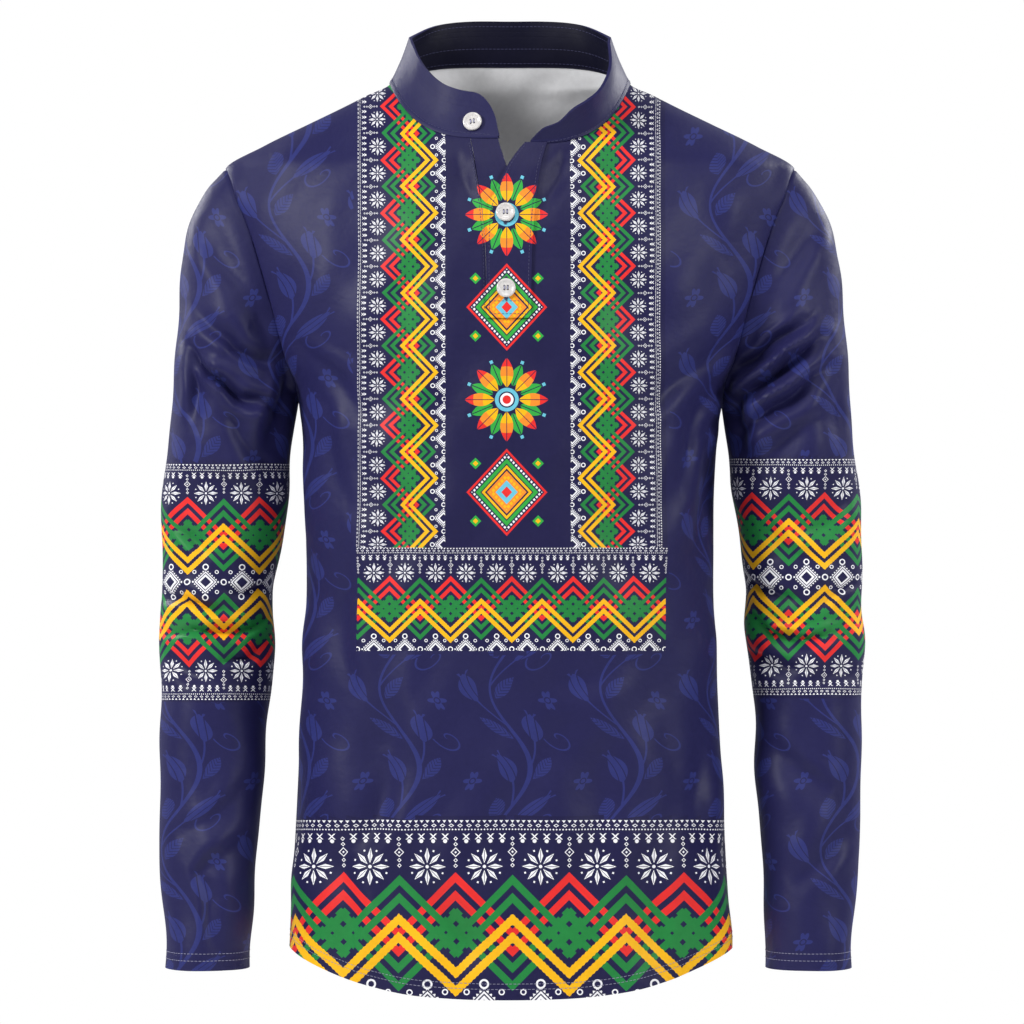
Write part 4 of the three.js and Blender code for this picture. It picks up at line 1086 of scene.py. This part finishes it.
HEM_UNIT, CHEST_UNIT, UPRIGHT_UNIT, SLEEVE_UNIT = 0.8, 0.4312, 0.3744, 0.5016
HEM_TOP, CHEST_TOP, CHEST_BOTTOM = 588.8, 371.0, 453.6
HEM_PEAK, CHEST_PEAK, UPRIGHT_PEAK = 2.0, -71.8, 167.1  # where a red peak of each band lies
YOKE_FACES = (-126, 127)  # faces between these places may show the yoke's print
CHEST_LEFT, CHEST_RIGHT = -121.6, 124.0
UPRIGHT_MIDDLE, UPRIGHT_HALF, UPRIGHT_WIDTH = -1.6, 121.6, 72.0
SLEEVE_MIDDLE = {-1: 398.4, 1: 394.4}
SLEEVE_PEAK = {-1: -229.1, 1: 223.0}
SLEEVE_BAND_HALF = 94.5
MOTIF_TOP, MOTIF_STEP, MOTIF_COUNT = 104.6, 74.0, 4
MOTIF_MIDDLE, MOTIF_HALF = -2.6, 46


def hem_layout(tree, u, v):
    return band_node(tree, (u - HEM_PEAK) / HEM_UNIT, (v - HEM_TOP) / HEM_UNIT).outputs["Color"]


def sleeve_layout(side):
    def layout(tree, u, v):
        across = 188 - abs(v - SLEEVE_MIDDLE[side]) / SLEEVE_UNIT
        return band_node(tree, (u - SLEEVE_PEAK[side]) / SLEEVE_UNIT, across).outputs["Color"]
    return layout


def yoke_layout(tree, u, v):
    """The two upright bands, the chest band under them, and the motifs between them."""
    tint = colours()
    chest = v > CHEST_TOP
    upright_across = (UPRIGHT_HALF - abs(u - UPRIGHT_MIDDLE)) / UPRIGHT_UNIT
    upright_along = (v - UPRIGHT_PEAK) / UPRIGHT_UNIT
    chest_along = (u - CHEST_PEAK) / CHEST_UNIT
    chest_across = (v - CHEST_TOP) / CHEST_UNIT
    along = upright_along + (chest_along - upright_along) * chest
    across = upright_across + (chest_across - upright_across) * chest
    band = band_node(tree, along, across)
    from_middle = abs(u - UPRIGHT_MIDDLE)
    in_chest = chest & (v < CHEST_BOTTOM)
    in_upright = (from_middle > UPRIGHT_HALF - UPRIGHT_WIDTH) & (v < CHEST_TOP)
    in_yoke = (u > CHEST_LEFT) & (u < CHEST_RIGHT) & (v < CHEST_BOTTOM)
    down = v - MOTIF_TOP
    cell = (down / MOTIF_STEP + 0.5).math("FLOOR")
    motif = group_node(tree, "centre_motif", centre_motif_group)
    fill(tree, motif, {
        "Across": u - MOTIF_MIDDLE, "Down": down.wrapped(MOTIF_STEP), "Lozenge": cell.every(2),
        "Ground": linear(tint.band_ground), "Light": linear(tint.light), "Red": linear(tint.red),
        "Orange": linear(tint.orange), "Gold": linear(tint.gold), "Green": linear(tint.bright_green),
        "Blue": linear(tint.sky)})
    in_motif = ((down > -0.5 * MOTIF_STEP) & (down < (MOTIF_COUNT - 0.5) * MOTIF_STEP)
                & (from_middle < MOTIF_HALF))
    ground = blend(tree, in_yoke, linear(tint.navy), linear(tint.band_ground))
    colour = blend(tree, (in_upright | in_chest) & in_yoke, ground, band.outputs["Color"])
    return blend(tree, in_motif, colour, motif.outputs["Color"])


def flat_layout(name):
    def layout(tree, u, v):
        return linear(getattr(colours(), name))
    return layout


def shared_material(name, maker):
    found = bpy.data.materials.get(name)
    return found if found is not None else maker()


def jersey(name):
    """The shirt's cloth materials by name, each made once."""
    layouts = {
        "jersey_vine": lambda: jersey_material(name, ground_layout),
        "jersey_hem_band": lambda: jersey_material(name, hem_layout),
        "jersey_yoke": lambda: jersey_material(name, yoke_layout),
        "jersey_sleeve_band_left": lambda: jersey_material(name, sleeve_layout(1)),
        "jersey_sleeve_band_right": lambda: jersey_material(name, sleeve_layout(-1)),
        "jersey_reverse": lambda: jersey_material(name, flat_layout("reverse"), 0.6),
        # the collar's inner face: printed navy, darkened further with painted shade for inside the band
        "jersey_collar": lambda: jersey_material(name, flat_layout("collar"), 0.7),
        "jersey_painted_shade_collar_inner": lambda: jersey_material(name, flat_layout("painted_shade_collar_inner"), 0.7),
    }
    return shared_material(name, layouts[name])


def thread_material(name="sewing_thread", tint="thread"):
    def maker():
        material, tree, shader = start_material(name)
        wave = tree.nodes.new("ShaderNodeTexWave")
        place = tree.nodes.new("ShaderNodeAttribute")
        place.attribute_name = "print"
        tree.links.new(place.outputs["Vector"], wave.inputs["Vector"])
        wave.inputs["Scale"].default_value = 1.6
        pale = getattr(colours(), tint)
        colour = blend(tree, wave.outputs["Fac"], (*(0.6 * c for c in pale), 1), linear(pale))
        tree.links.new(colour, shader.inputs["Base Color"])
        shader.inputs["Roughness"].default_value = 0.6
        return material
    return shared_material(name, maker)


def pearl_material():
    """Milky marbled button plastic."""
    def maker():
        material, tree, shader = start_material("pearly_button")
        noise = tree.nodes.new("ShaderNodeTexNoise")
        place = tree.nodes.new("ShaderNodeTexCoord")
        tree.links.new(place.outputs["Object"], noise.inputs["Vector"])
        noise.inputs["Scale"].default_value = 230
        noise.inputs["Detail"].default_value = 4
        noise.inputs["Distortion"].default_value = 2.2
        colour = blend(tree, noise.outputs["Fac"], (0.42, 0.40, 0.40, 1), linear(colours().button))
        tree.links.new(colour, shader.inputs["Base Color"])
        rough = tree.nodes.new("ShaderNodeMapRange")
        rough.inputs["To Min"].default_value, rough.inputs["To Max"].default_value = 0.16, 0.3
        tree.links.new(noise.outputs["Fac"], rough.inputs["Value"])
        tree.links.new(rough.outputs[0], shader.inputs["Roughness"])
        shader.inputs["Coat Weight"].default_value = 0.4
        return material
    return shared_material("pearly_button", maker)


# ---------------------------------------------------------------- regions of the print


def front_region(middles, corners):
    u, v = middles[:, 0], middles[:, 1]
    region = np.zeros(len(middles), int)
    yoke = (u > YOKE_FACES[0]) & (u < YOKE_FACES[1]) & (v < CHEST_BOTTOM + 2)
    region[yoke] = 1
    region[corners[:, :, 1].max(axis=1) > HEM_TOP] = 2
    return region


def back_region(middles, corners):
    return np.where(corners[:, :, 1].max(axis=1) > HEM_TOP, 1, 0)


def sleeve_region(side):
    def region(middles, corners):
        off = np.abs(corners[:, :, 1] - SLEEVE_MIDDLE[side]).min(axis=1)
        return np.where(off < SLEEVE_BAND_HALF, 1, 0)
    return region


# ---------------------------------------------------------------- operators


class ShirtSizes(bpy.types.PropertyGroup):
    """Sizes that a user would change."""

    wall: FloatProperty(name="Cloth", description="Thickness of the jersey", default=0.0015, min=0.0008,
                        max=0.002, subtype="DISTANCE", unit="LENGTH")
    collar_wall: FloatProperty(name="Collar cloth", description="Thickness of the doubled collar",
                               default=0.0024, min=0.0015, max=0.003, subtype="DISTANCE", unit="LENGTH")
    fold_strength: FloatProperty(name="Folds", description="How deep the folds are, as a share",
                                 default=1.35, min=0.0, max=1.6, subtype="FACTOR")
    stitch_pitch: FloatProperty(name="Stitch pitch", description="From one stitch to the next",
                                default=0.0032, min=0.002, max=0.006, subtype="DISTANCE", unit="LENGTH")
    stitch_length: FloatProperty(name="Stitch", description="Length of a stitch that shows",
                                 default=0.0025, min=0.001, max=0.005, subtype="DISTANCE", unit="LENGTH")
    thread_radius: FloatProperty(name="Thread", description="Half the thread's thickness",
                                 default=0.00022, min=0.0001, max=0.0005, subtype="DISTANCE", unit="LENGTH")
    button_diameter: FloatProperty(name="Button", description="Diameter of a button", default=0.015,
                                   min=0.01, max=0.018, subtype="DISTANCE", unit="LENGTH")


def colour_property(name, description, value):
    def to_linear(c):
        c /= 255
        return c / 12.92 if c <= 0.04045 else ((c + 0.055) / 1.055) ** 2.4
    return FloatVectorProperty(name=name, description=description, subtype="COLOR", size=3, min=0, max=1,
                               default=tuple(to_linear(c) for c in value))


class ShirtColours(bpy.types.PropertyGroup):
    """Colours that a user would change."""

    navy: colour_property("Navy", "Ground of the jersey", (33, 32, 76))
    vine: colour_property("Vine", "Tone-on-tone vines on the ground", (43, 48, 108))
    band_ground: colour_property("Band ground", "Ground of the bands", (30, 28, 68))
    light: colour_property("White", "White of the print", (238, 238, 242))
    red: colour_property("Red", "Red of the print", (226, 46, 44))
    orange: colour_property("Orange", "Orange of the print", (240, 140, 44))
    gold: colour_property("Gold", "Gold of the print", (243, 182, 22))
    green: colour_property("Green", "Green of the bands", (34, 128, 62))
    bright_green: colour_property("Bright green", "Green of the centre motifs", (52, 165, 66))
    sky: colour_property("Sky blue", "Pale blue of the centre motifs", (104, 190, 212))
    reverse: colour_property("Reverse", "Unprinted inside of the jersey", (220, 220, 222))
    collar: colour_property("Collar", "Outside of the collar", (33, 32, 74))
    # Inside of the collar: navy darkened well below the outside's, as painted shade where the band shades
    # itself
    painted_shade_collar_inner: colour_property("Collar inside", "Inside of the collar", (12, 12, 34))
    thread: colour_property("Thread", "Navy sewing thread", (66, 66, 108))
    hem_thread: colour_property("Hem thread", "Pale thread of the hem and cuffs", (158, 158, 186))
    button: colour_property("Button", "Lightest part of the buttons", (236, 233, 230))


def place_cloth(piece, node):
    """Rides on the shirt and stands for its solid, which it hides."""
    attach(piece, "root")
    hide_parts(node)


def wall_mm():
    return shirt_sizes().wall / MM


class SHIRT_OT_front(bpy.types.Operator):
    """Makes the front: a folded panel with the slit, the printed bands and motifs"""
    bl_idname = "shirt.front"
    bl_label = "Front"

    def execute(self, context):
        grid, out, printed, number, keep = panel("front")
        materials = [jersey(n) for n in ("jersey_vine", "jersey_yoke", "jersey_hem_band", "jersey_reverse")]
        piece = cloth("front_cloth", grid, out, printed, wall_mm(), materials, front_region, number, keep)
        place_cloth(piece, "front")
        return {"FINISHED"}


class SHIRT_OT_back(bpy.types.Operator):
    """Makes the back: a folded panel with the hem's band"""
    bl_idname = "shirt.back"
    bl_label = "Back"

    def execute(self, context):
        grid, out, printed, number, keep = panel("back")
        materials = [jersey(n) for n in ("jersey_vine", "jersey_hem_band", "jersey_reverse")]
        piece = cloth("back_cloth", grid, out, printed, wall_mm(), materials, back_region, number, keep)
        place_cloth(piece, "back")
        return {"FINISHED"}


class SHIRT_OT_sleeves(bpy.types.Operator):
    """Makes both sleeves with their folds and printed bands"""
    bl_idname = "shirt.sleeves"
    bl_label = "Sleeves"

    def execute(self, context):
        for side, name in ((1, "left"), (-1, "right")):
            grid, out, printed = sleeve_grid(side)
            materials = [jersey(n) for n in ("jersey_vine", "jersey_sleeve_band_" + name, "jersey_reverse")]
            piece = cloth(f"sleeve_{name}_cloth", grid, out, printed, wall_mm(), materials,
                          sleeve_region(side), wraps=True)
            place_cloth(piece, "sleeve_" + name)
        return {"FINISHED"}


class SHIRT_OT_collar(bpy.types.Operator):
    """Makes the standing band of the collar"""
    bl_idname = "shirt.collar"
    bl_label = "Collar"

    def execute(self, context):
        grid, out, printed = collar_grid()
        # the second material colours the inner faces: navy darkened with painted shade for inside the band
        materials = [jersey("jersey_collar"), jersey("jersey_painted_shade_collar_inner")]
        piece = cloth("collar_cloth", grid, out, printed, shirt_sizes().collar_wall / MM, materials, plain)
        place_cloth(piece, "collar_band")
        return {"FINISHED"}


def strip_grid(heights, left, right, out, columns=8):
    """A strip of the placket between two edges given at each height."""
    share = np.linspace(0, 1, columns + 1)
    x = mix(left[:, None], right[:, None], share[None])
    z = heights if heights.ndim == 2 else np.broadcast_to(heights[:, None], x.shape)
    point, normal = front_place(x, z, out)
    seen_x, seen_z = as_seen(point)
    edge = np.minimum(x - left[:, None], right[:, None] - x)
    return point, normal, np.stack([seen_x, -seen_z, np.minimum(edge + 3.5, 20)], axis=-1)


def under_strip():
    """The strip with the buttons, level with the front in its slit."""
    top, bottom = NECK_DROP[-1], PLACKET_BOTTOM - 0.6
    rows = 54
    share = np.linspace(0, 1, rows + 1)
    z = -mix(top, bottom, share)
    left = SLIT_RIGHT(z) + SEAM_GAP
    right = np.minimum(UNDER_FREE(z), SLIT_LEFT(z) - SEAM_GAP)
    columns = 8
    x = mix(left[:, None], right[:, None], np.linspace(0, 1, columns + 1)[None])
    level = neck_height(-1, x[0]) - SEAM_GAP
    heights = mix(level[None], -bottom, share[:, None])
    return strip_grid(heights, left, right, 0.0, columns)


def outer_strip():
    """The strip with the buttonholes, over the other one."""
    top, bottom = NECK_DROP[1] + 2 * SEAM_GAP, PLACKET_BOTTOM + PLACKET_LAP
    z = -np.linspace(top, bottom, 60)
    return strip_grid(z, OUTER_FREE(z), SLIT_LEFT(z) + PLACKET_LAP * 0.6, wall_mm() + LAP_GAP)


class SHIRT_OT_placket(bpy.types.Operator):
    """Makes both strips of the placket"""
    bl_idname = "shirt.placket"
    bl_label = "Placket"

    def execute(self, context):
        for name, grid, flat, area in (("placket_under", under_strip(), (0.034, 0.144), 0.00415),
                                       ("placket_outer", outer_strip(), (0.037, 0.151), 0.0047)):
            materials = [jersey("jersey_yoke"), jersey("jersey_reverse")]
            piece = cloth(name + "_cloth", *grid, wall_mm(), materials, plain)
            place_cloth(piece, name)
        return {"FINISHED"}


def button_mesh(name, material):
    """A dished four-hole button that faces +Z."""
    radius = shirt_sizes().button_diameter / MM / 2
    profile = [(0, 0), (radius - 1.1, 0), (radius - 0.35, 0.3), (radius, 0.95), (radius, 1.8),
               (radius - 0.3, 2.35), (radius - 0.9, 2.6), (radius - 1.6, 2.55), (radius - 2.2, 2.2),
               (radius - 2.9, 1.88), (radius - 3.8, 1.8), (0, 1.8)]
    sides = 56
    angle = 2 * math.pi * np.arange(sides) / sides
    points, faces = [(0, 0, 0)], []
    for r, z in profile[1:-1]:
        points += [(r * math.cos(a), r * math.sin(a), z) for a in angle]
    points.append((0, 0, profile[-1][1]))
    last, rings = len(points) - 1, len(profile) - 2
    for k in range(sides):
        n = (k + 1) % sides
        faces.append((0, 1 + n, 1 + k))
        for j in range(rings - 1):
            a, b = 1 + j * sides, 1 + (j + 1) * sides
            faces.append((a + k, a + n, b + n, b + k))
        a = 1 + (rings - 1) * sides
        faces.append((a + k, a + n, last))
    body = new_object(name, points, faces, [material], sharp=40)
    ring = 20
    around = 2 * math.pi * np.arange(ring) / ring
    cut_points, cut_faces = [], []
    for x, y in ((p, q) for p in (HOLE_PLACE, -HOLE_PLACE) for q in (HOLE_PLACE, -HOLE_PLACE)):
        first = len(cut_points)
        for z in (-1, 4):
            cut_points += [(x + HOLE_RADIUS * math.cos(a), y + HOLE_RADIUS * math.sin(a), z) for a in around]
        cut_faces += [tuple(range(first, first + ring))[::-1], tuple(range(first + ring, first + 2 * ring))]
        cut_faces += [(first + k, first + (k + 1) % ring, first + ring + (k + 1) % ring, first + ring + k)
                      for k in range(ring)]
    cutter = new_object(name + "_cutter", cut_points, cut_faces, [material])
    modifier = body.modifiers.new("holes", "BOOLEAN")
    modifier.operation, modifier.object, modifier.solver = "DIFFERENCE", cutter, "EXACT"
    graph = bpy.context.evaluated_depsgraph_get()
    cut = bpy.data.meshes.new_from_object(body.evaluated_get(graph))
    body.modifiers.clear()
    body.data = cut
    bpy.data.objects.remove(cutter)
    cut.polygons.foreach_set("use_smooth", np.ones(len(cut.polygons), bool))
    cut.set_sharp_from_angle(angle=math.radians(40))
    return body


def button_seat(name, x, z):
    """Where a button sits and the way it faces."""
    if name != "button_collar":
        point, normal = front_place(np.array([x]), np.array([z]), wall_mm() * 1.5 + LAP_GAP + SEAM_GAP)
        return point[0], normal[0]
    places = neck_places()
    point, rise, out = (places[key][STRIP_PLACES] for key in ("point", "rise", "out"))
    up = (z - point[2]) / rise[2]
    middle = point + rise * up - out * COLLAR_FLARE * math.sin(math.pi * up)
    return middle + out * (shirt_sizes().collar_wall / MM / 2 + SEAM_GAP + 0.45), out


class SHIRT_OT_buttons(bpy.types.Operator):
    """Makes the three buttons and the thread that holds each"""
    bl_idname = "shirt.buttons"
    bl_label = "Buttons"

    def execute(self, context):
        button_thread = thread_material("hem_thread", "hem_thread")
        for name, x, z in BUTTONS:
            point, normal = button_seat(name, x, z)
            turn = Vector((0, 0, 1)).rotation_difference(Vector(normal))
            piece = button_mesh(name + "_pearl", pearl_material())
            matrix = np.array(turn.to_matrix())
            piece.data.transform(turn.to_matrix().to_4x4())
            piece.data.transform(Matrix.Translation(Vector(point) * MM))
            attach(piece, "root")
            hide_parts(name)
            lines = []
            for across in (-HOLE_PLACE, HOLE_PLACE):
                place = np.array([[across, 0, 1.95], [across * 0.8, 0, 2.15]])
                along = np.array([[0, 1.0, 0], [0, 1.0, 0]])
                up = np.array([[0, 0, 1.0], [0, 0, 1.0]])
                lines.append((place @ matrix.T + point, along @ matrix.T, up @ matrix.T))
            thread = thread_piece(name + "_thread", lines, 3.2, 0.34, button_thread, 8)
            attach(thread, "root")
        return {"FINISHED"}


class SHIRT_OT_stitching(bpy.types.Operator):
    """Sews the hems, cuffs and placket with rows of small stitches"""
    bl_idname = "shirt.stitching"
    bl_label = "Stitching"

    def execute(self, context):
        sizes = shirt_sizes()
        pitch, length, radius = sizes.stitch_pitch / MM, sizes.stitch_length / MM, sizes.thread_radius / MM
        lift = wall_mm() / 2 + radius * 0.35
        hem_thread = thread_material("hem_thread", "hem_thread")
        pieces = []
        for face in ("front", "back"):
            grid, out, printed, _, _ = panel(face)
            lines = []
            columns = np.linspace(0, grid.shape[1] - 1, 260)
            for above in HEM_STITCHES:
                step = sampled(printed, np.full(260, grid.shape[0] - 2.0), columns)[:, 2]
                row = grid.shape[0] - 1 - above / np.maximum(step, 0.5)
                normal = unit(sampled(out, row, columns))
                lines.append(stitch_line(sampled(grid, row, columns) + normal * lift, normal, pitch))
            pieces.append(thread_piece(f"hem_stitches_{face}", lines, length, radius, hem_thread))
        for side, name in ((1, "left"), (-1, "right")):
            grid, out, printed = (np.concatenate([a, a[:, :1]], axis=1) for a in sleeve_grid(side))
            lines = []
            columns = np.linspace(0, grid.shape[1] - 1, 200)
            for above in HEM_STITCHES:
                row = np.full(200, grid.shape[0] - 1 - above / printed[-2, 0, 2])
                normal = unit(sampled(out, row, columns))
                lines.append(stitch_line(sampled(grid, row, columns) + normal * lift, normal, pitch))
            pieces.append(thread_piece(f"cuff_stitches_{name}", lines, length, radius, hem_thread))
        outer = wall_mm() * 1.5 + LAP_GAP + radius * 0.35
        z = -np.linspace(NECK_DROP[1] + 3, PLACKET_BOTTOM + PLACKET_LAP - 3, 120)
        lines = []
        for x in (OUTER_FREE(z) + 2.2, SLIT_LEFT(z) + PLACKET_LAP * 0.6 - 2.2):
            lines.append(stitch_line(*front_place(x, z, outer), pitch * 0.9))
        for height in (-PLACKET_BOTTOM - PLACKET_LAP + 3, -PLACKET_BOTTOM + 6):
            right, left = float(OUTER_FREE(height)), float(SLIT_LEFT(height)) + PLACKET_LAP * 0.6
            x = np.linspace(right + 2.2, left - 2.2, 20)
            lines.append(stitch_line(*front_place(x, np.full(20, height), outer), pitch * 0.9))
        z = -np.linspace(NECK_DROP[-1] + 3, PLACKET_BOTTOM, 110)
        lines.append(stitch_line(*front_place(SLIT_RIGHT(z) - 1.6, z, lift), pitch * 0.9))
        pieces.append(thread_piece("placket_stitches", lines, length * 0.9, radius, thread_material()))
        band, band_out, _ = collar_grid()
        lines = []
        columns = np.linspace(5, len(band) - 8, 240)
        for up, way in ((2.2, 1), (2.2, -1), (9, -1), (19.5, -1)):  # row of the band, outside or inside
            place, normal = (sampled(grid, columns, np.full(240, up)) for grid in (band, band_out))
            normal = unit(normal) * way
            place = place + normal * (sizes.collar_wall / MM / 2 + radius * 0.35)
            lines.append(stitch_line(place, normal, pitch))
        pieces.append(thread_piece("collar_stitches", lines, length, radius, thread_material()))
        holes = []
        for name, x, z in BUTTONS[1:]:
            angle = np.linspace(0, 2 * math.pi, 90)
            ring_x = x + 1.5 * np.cos(angle)
            ring_z = z + 9.3 * np.sin(angle)
            point, normal = front_place(ring_x, ring_z, outer)
            place, along, normal = stitch_line(point, normal, 0.62)
            holes.append((place, np.cross(normal, along), normal))
        pieces.append(thread_piece("buttonhole_stitches", holes, 1.7, 0.26, thread_material(), 5))
        for piece in pieces:
            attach(piece, "root")
        return {"FINISHED"}


class SHIRT_OT_stage(bpy.types.Operator):
    """Makes the camera, the soft studio light and the pale floor"""
    bl_idname = "shirt.stage"
    bl_label = "Stage"

    def execute(self, context):
        scene = bpy.context.scene
        camera = bpy.data.objects.new("camera", bpy.data.cameras.new("camera"))
        camera.location = Vector(CAMERA) * MM
        camera.rotation_euler = (QUARTER, 0, 0)
        camera.data.lens, camera.data.sensor_width = CAMERA_LENS, 36
        camera.data.clip_end = 50
        scene.collection.objects.link(camera)
        scene.camera = camera
        scene.view_settings.view_transform = "Standard"
        world = bpy.data.worlds.new("studio")
        world.use_nodes = True
        tree = world.node_tree
        seen, lit = tree.nodes["Background"], tree.nodes.new("ShaderNodeBackground")
        seen.inputs["Color"].default_value = lit.inputs["Color"].default_value = (1, 1, 1, 1)
        lit.inputs["Strength"].default_value = SURROUNDINGS
        either, path = tree.nodes.new("ShaderNodeMixShader"), tree.nodes.new("ShaderNodeLightPath")
        tree.links.new(path.outputs["Is Camera Ray"], either.inputs[0])
        tree.links.new(lit.outputs[0], either.inputs[1])
        tree.links.new(seen.outputs[0], either.inputs[2])
        tree.links.new(either.outputs[0], tree.nodes["World Output"].inputs["Surface"])
        scene.world = world
        lights = [
            ("key", (-2.5, -1.7, 1.2), (0, 0, -0.3), 0.9, 90),
            ("fill", (2.6, -1.5, 0.8), (0, 0, -0.35), 0.9, 50),
            ("top", (0.1, -1.6, 2.2), (0, 0, -0.3), 1.2, 24),
            ("back_left", (-2.3, 2.1, 1.0), (0, 0, -0.35), 0.9, 44),
            ("back_right", (2.3, 2.2, 1.2), (0, 0, -0.35), 0.9, 60),
        ]
        for name, where, target, size, power in lights:
            light = bpy.data.objects.new("light_" + name, bpy.data.lights.new("light_" + name, "AREA"))
            light.data.shape, light.data.size, light.data.energy = "SQUARE", size, power
            light.location = where
            light.rotation_euler = (Vector(target) - Vector(where)).to_track_quat("-Z", "Y").to_euler()
            scene.collection.objects.link(light)
        material, tree, shader = start_material("pale_floor")
        noise = tree.nodes.new("ShaderNodeTexNoise")
        noise.inputs["Scale"].default_value = 2.0
        colour = blend(tree, noise.outputs["Fac"], (0.9, 0.9, 0.9, 1), (0.93, 0.93, 0.93, 1))
        tree.links.new(colour, shader.inputs["Base Color"])
        shader.inputs["Roughness"].default_value = 0.9
        angle = 2 * math.pi * np.arange(96) / 96
        points = np.stack([FLOOR_RADIUS * np.cos(angle), FLOOR_RADIUS * np.sin(angle),
                           np.full(96, FLOOR_HEIGHT)], axis=1)
        new_object("floor", points, [range(96)], [material])
        return {"FINISHED"}


class SHIRT_PT_panel(bpy.types.Panel):
    """Lists the shirt's pieces, sizes and colours"""
    bl_idname = "SHIRT_PT_panel"
    bl_label = "Henley shirt"
    bl_space_type = "VIEW_3D"
    bl_region_type = "UI"
    bl_category = "Shirt"

    def draw(self, context):
        for group in (context.scene.shirt_sizes, context.scene.shirt_colours):
            box = self.layout.box()
            for name in group.__annotations__:
                box.prop(group, name)
        for operator in OPERATORS:
            self.layout.operator(operator.bl_idname)


OPERATORS = (SHIRT_OT_stage, SHIRT_OT_back, SHIRT_OT_front, SHIRT_OT_sleeves, SHIRT_OT_collar,
             SHIRT_OT_placket, SHIRT_OT_buttons, SHIRT_OT_stitching)
CLASSES = (ShirtSizes, ShirtColours, *OPERATORS, SHIRT_PT_panel)


def register():
    for cls in CLASSES:
        bpy.utils.register_class(cls)
    bpy.types.Scene.shirt_sizes = PointerProperty(type=ShirtSizes)
    bpy.types.Scene.shirt_colours = PointerProperty(type=ShirtColours)


def unregister():
    del bpy.types.Scene.shirt_colours
    del bpy.types.Scene.shirt_sizes
    for cls in reversed(CLASSES):
        bpy.utils.unregister_class(cls)


def main():
    register()
    bpy.ops.shirt.stage()
    bpy.ops.shirt.back()
    bpy.ops.shirt.front()
    bpy.ops.shirt.sleeves()
    bpy.ops.shirt.collar()
    bpy.ops.shirt.placket()
    bpy.ops.shirt.buttons()
    bpy.ops.shirt.stitching()


if __name__ == "__main__":
    main()
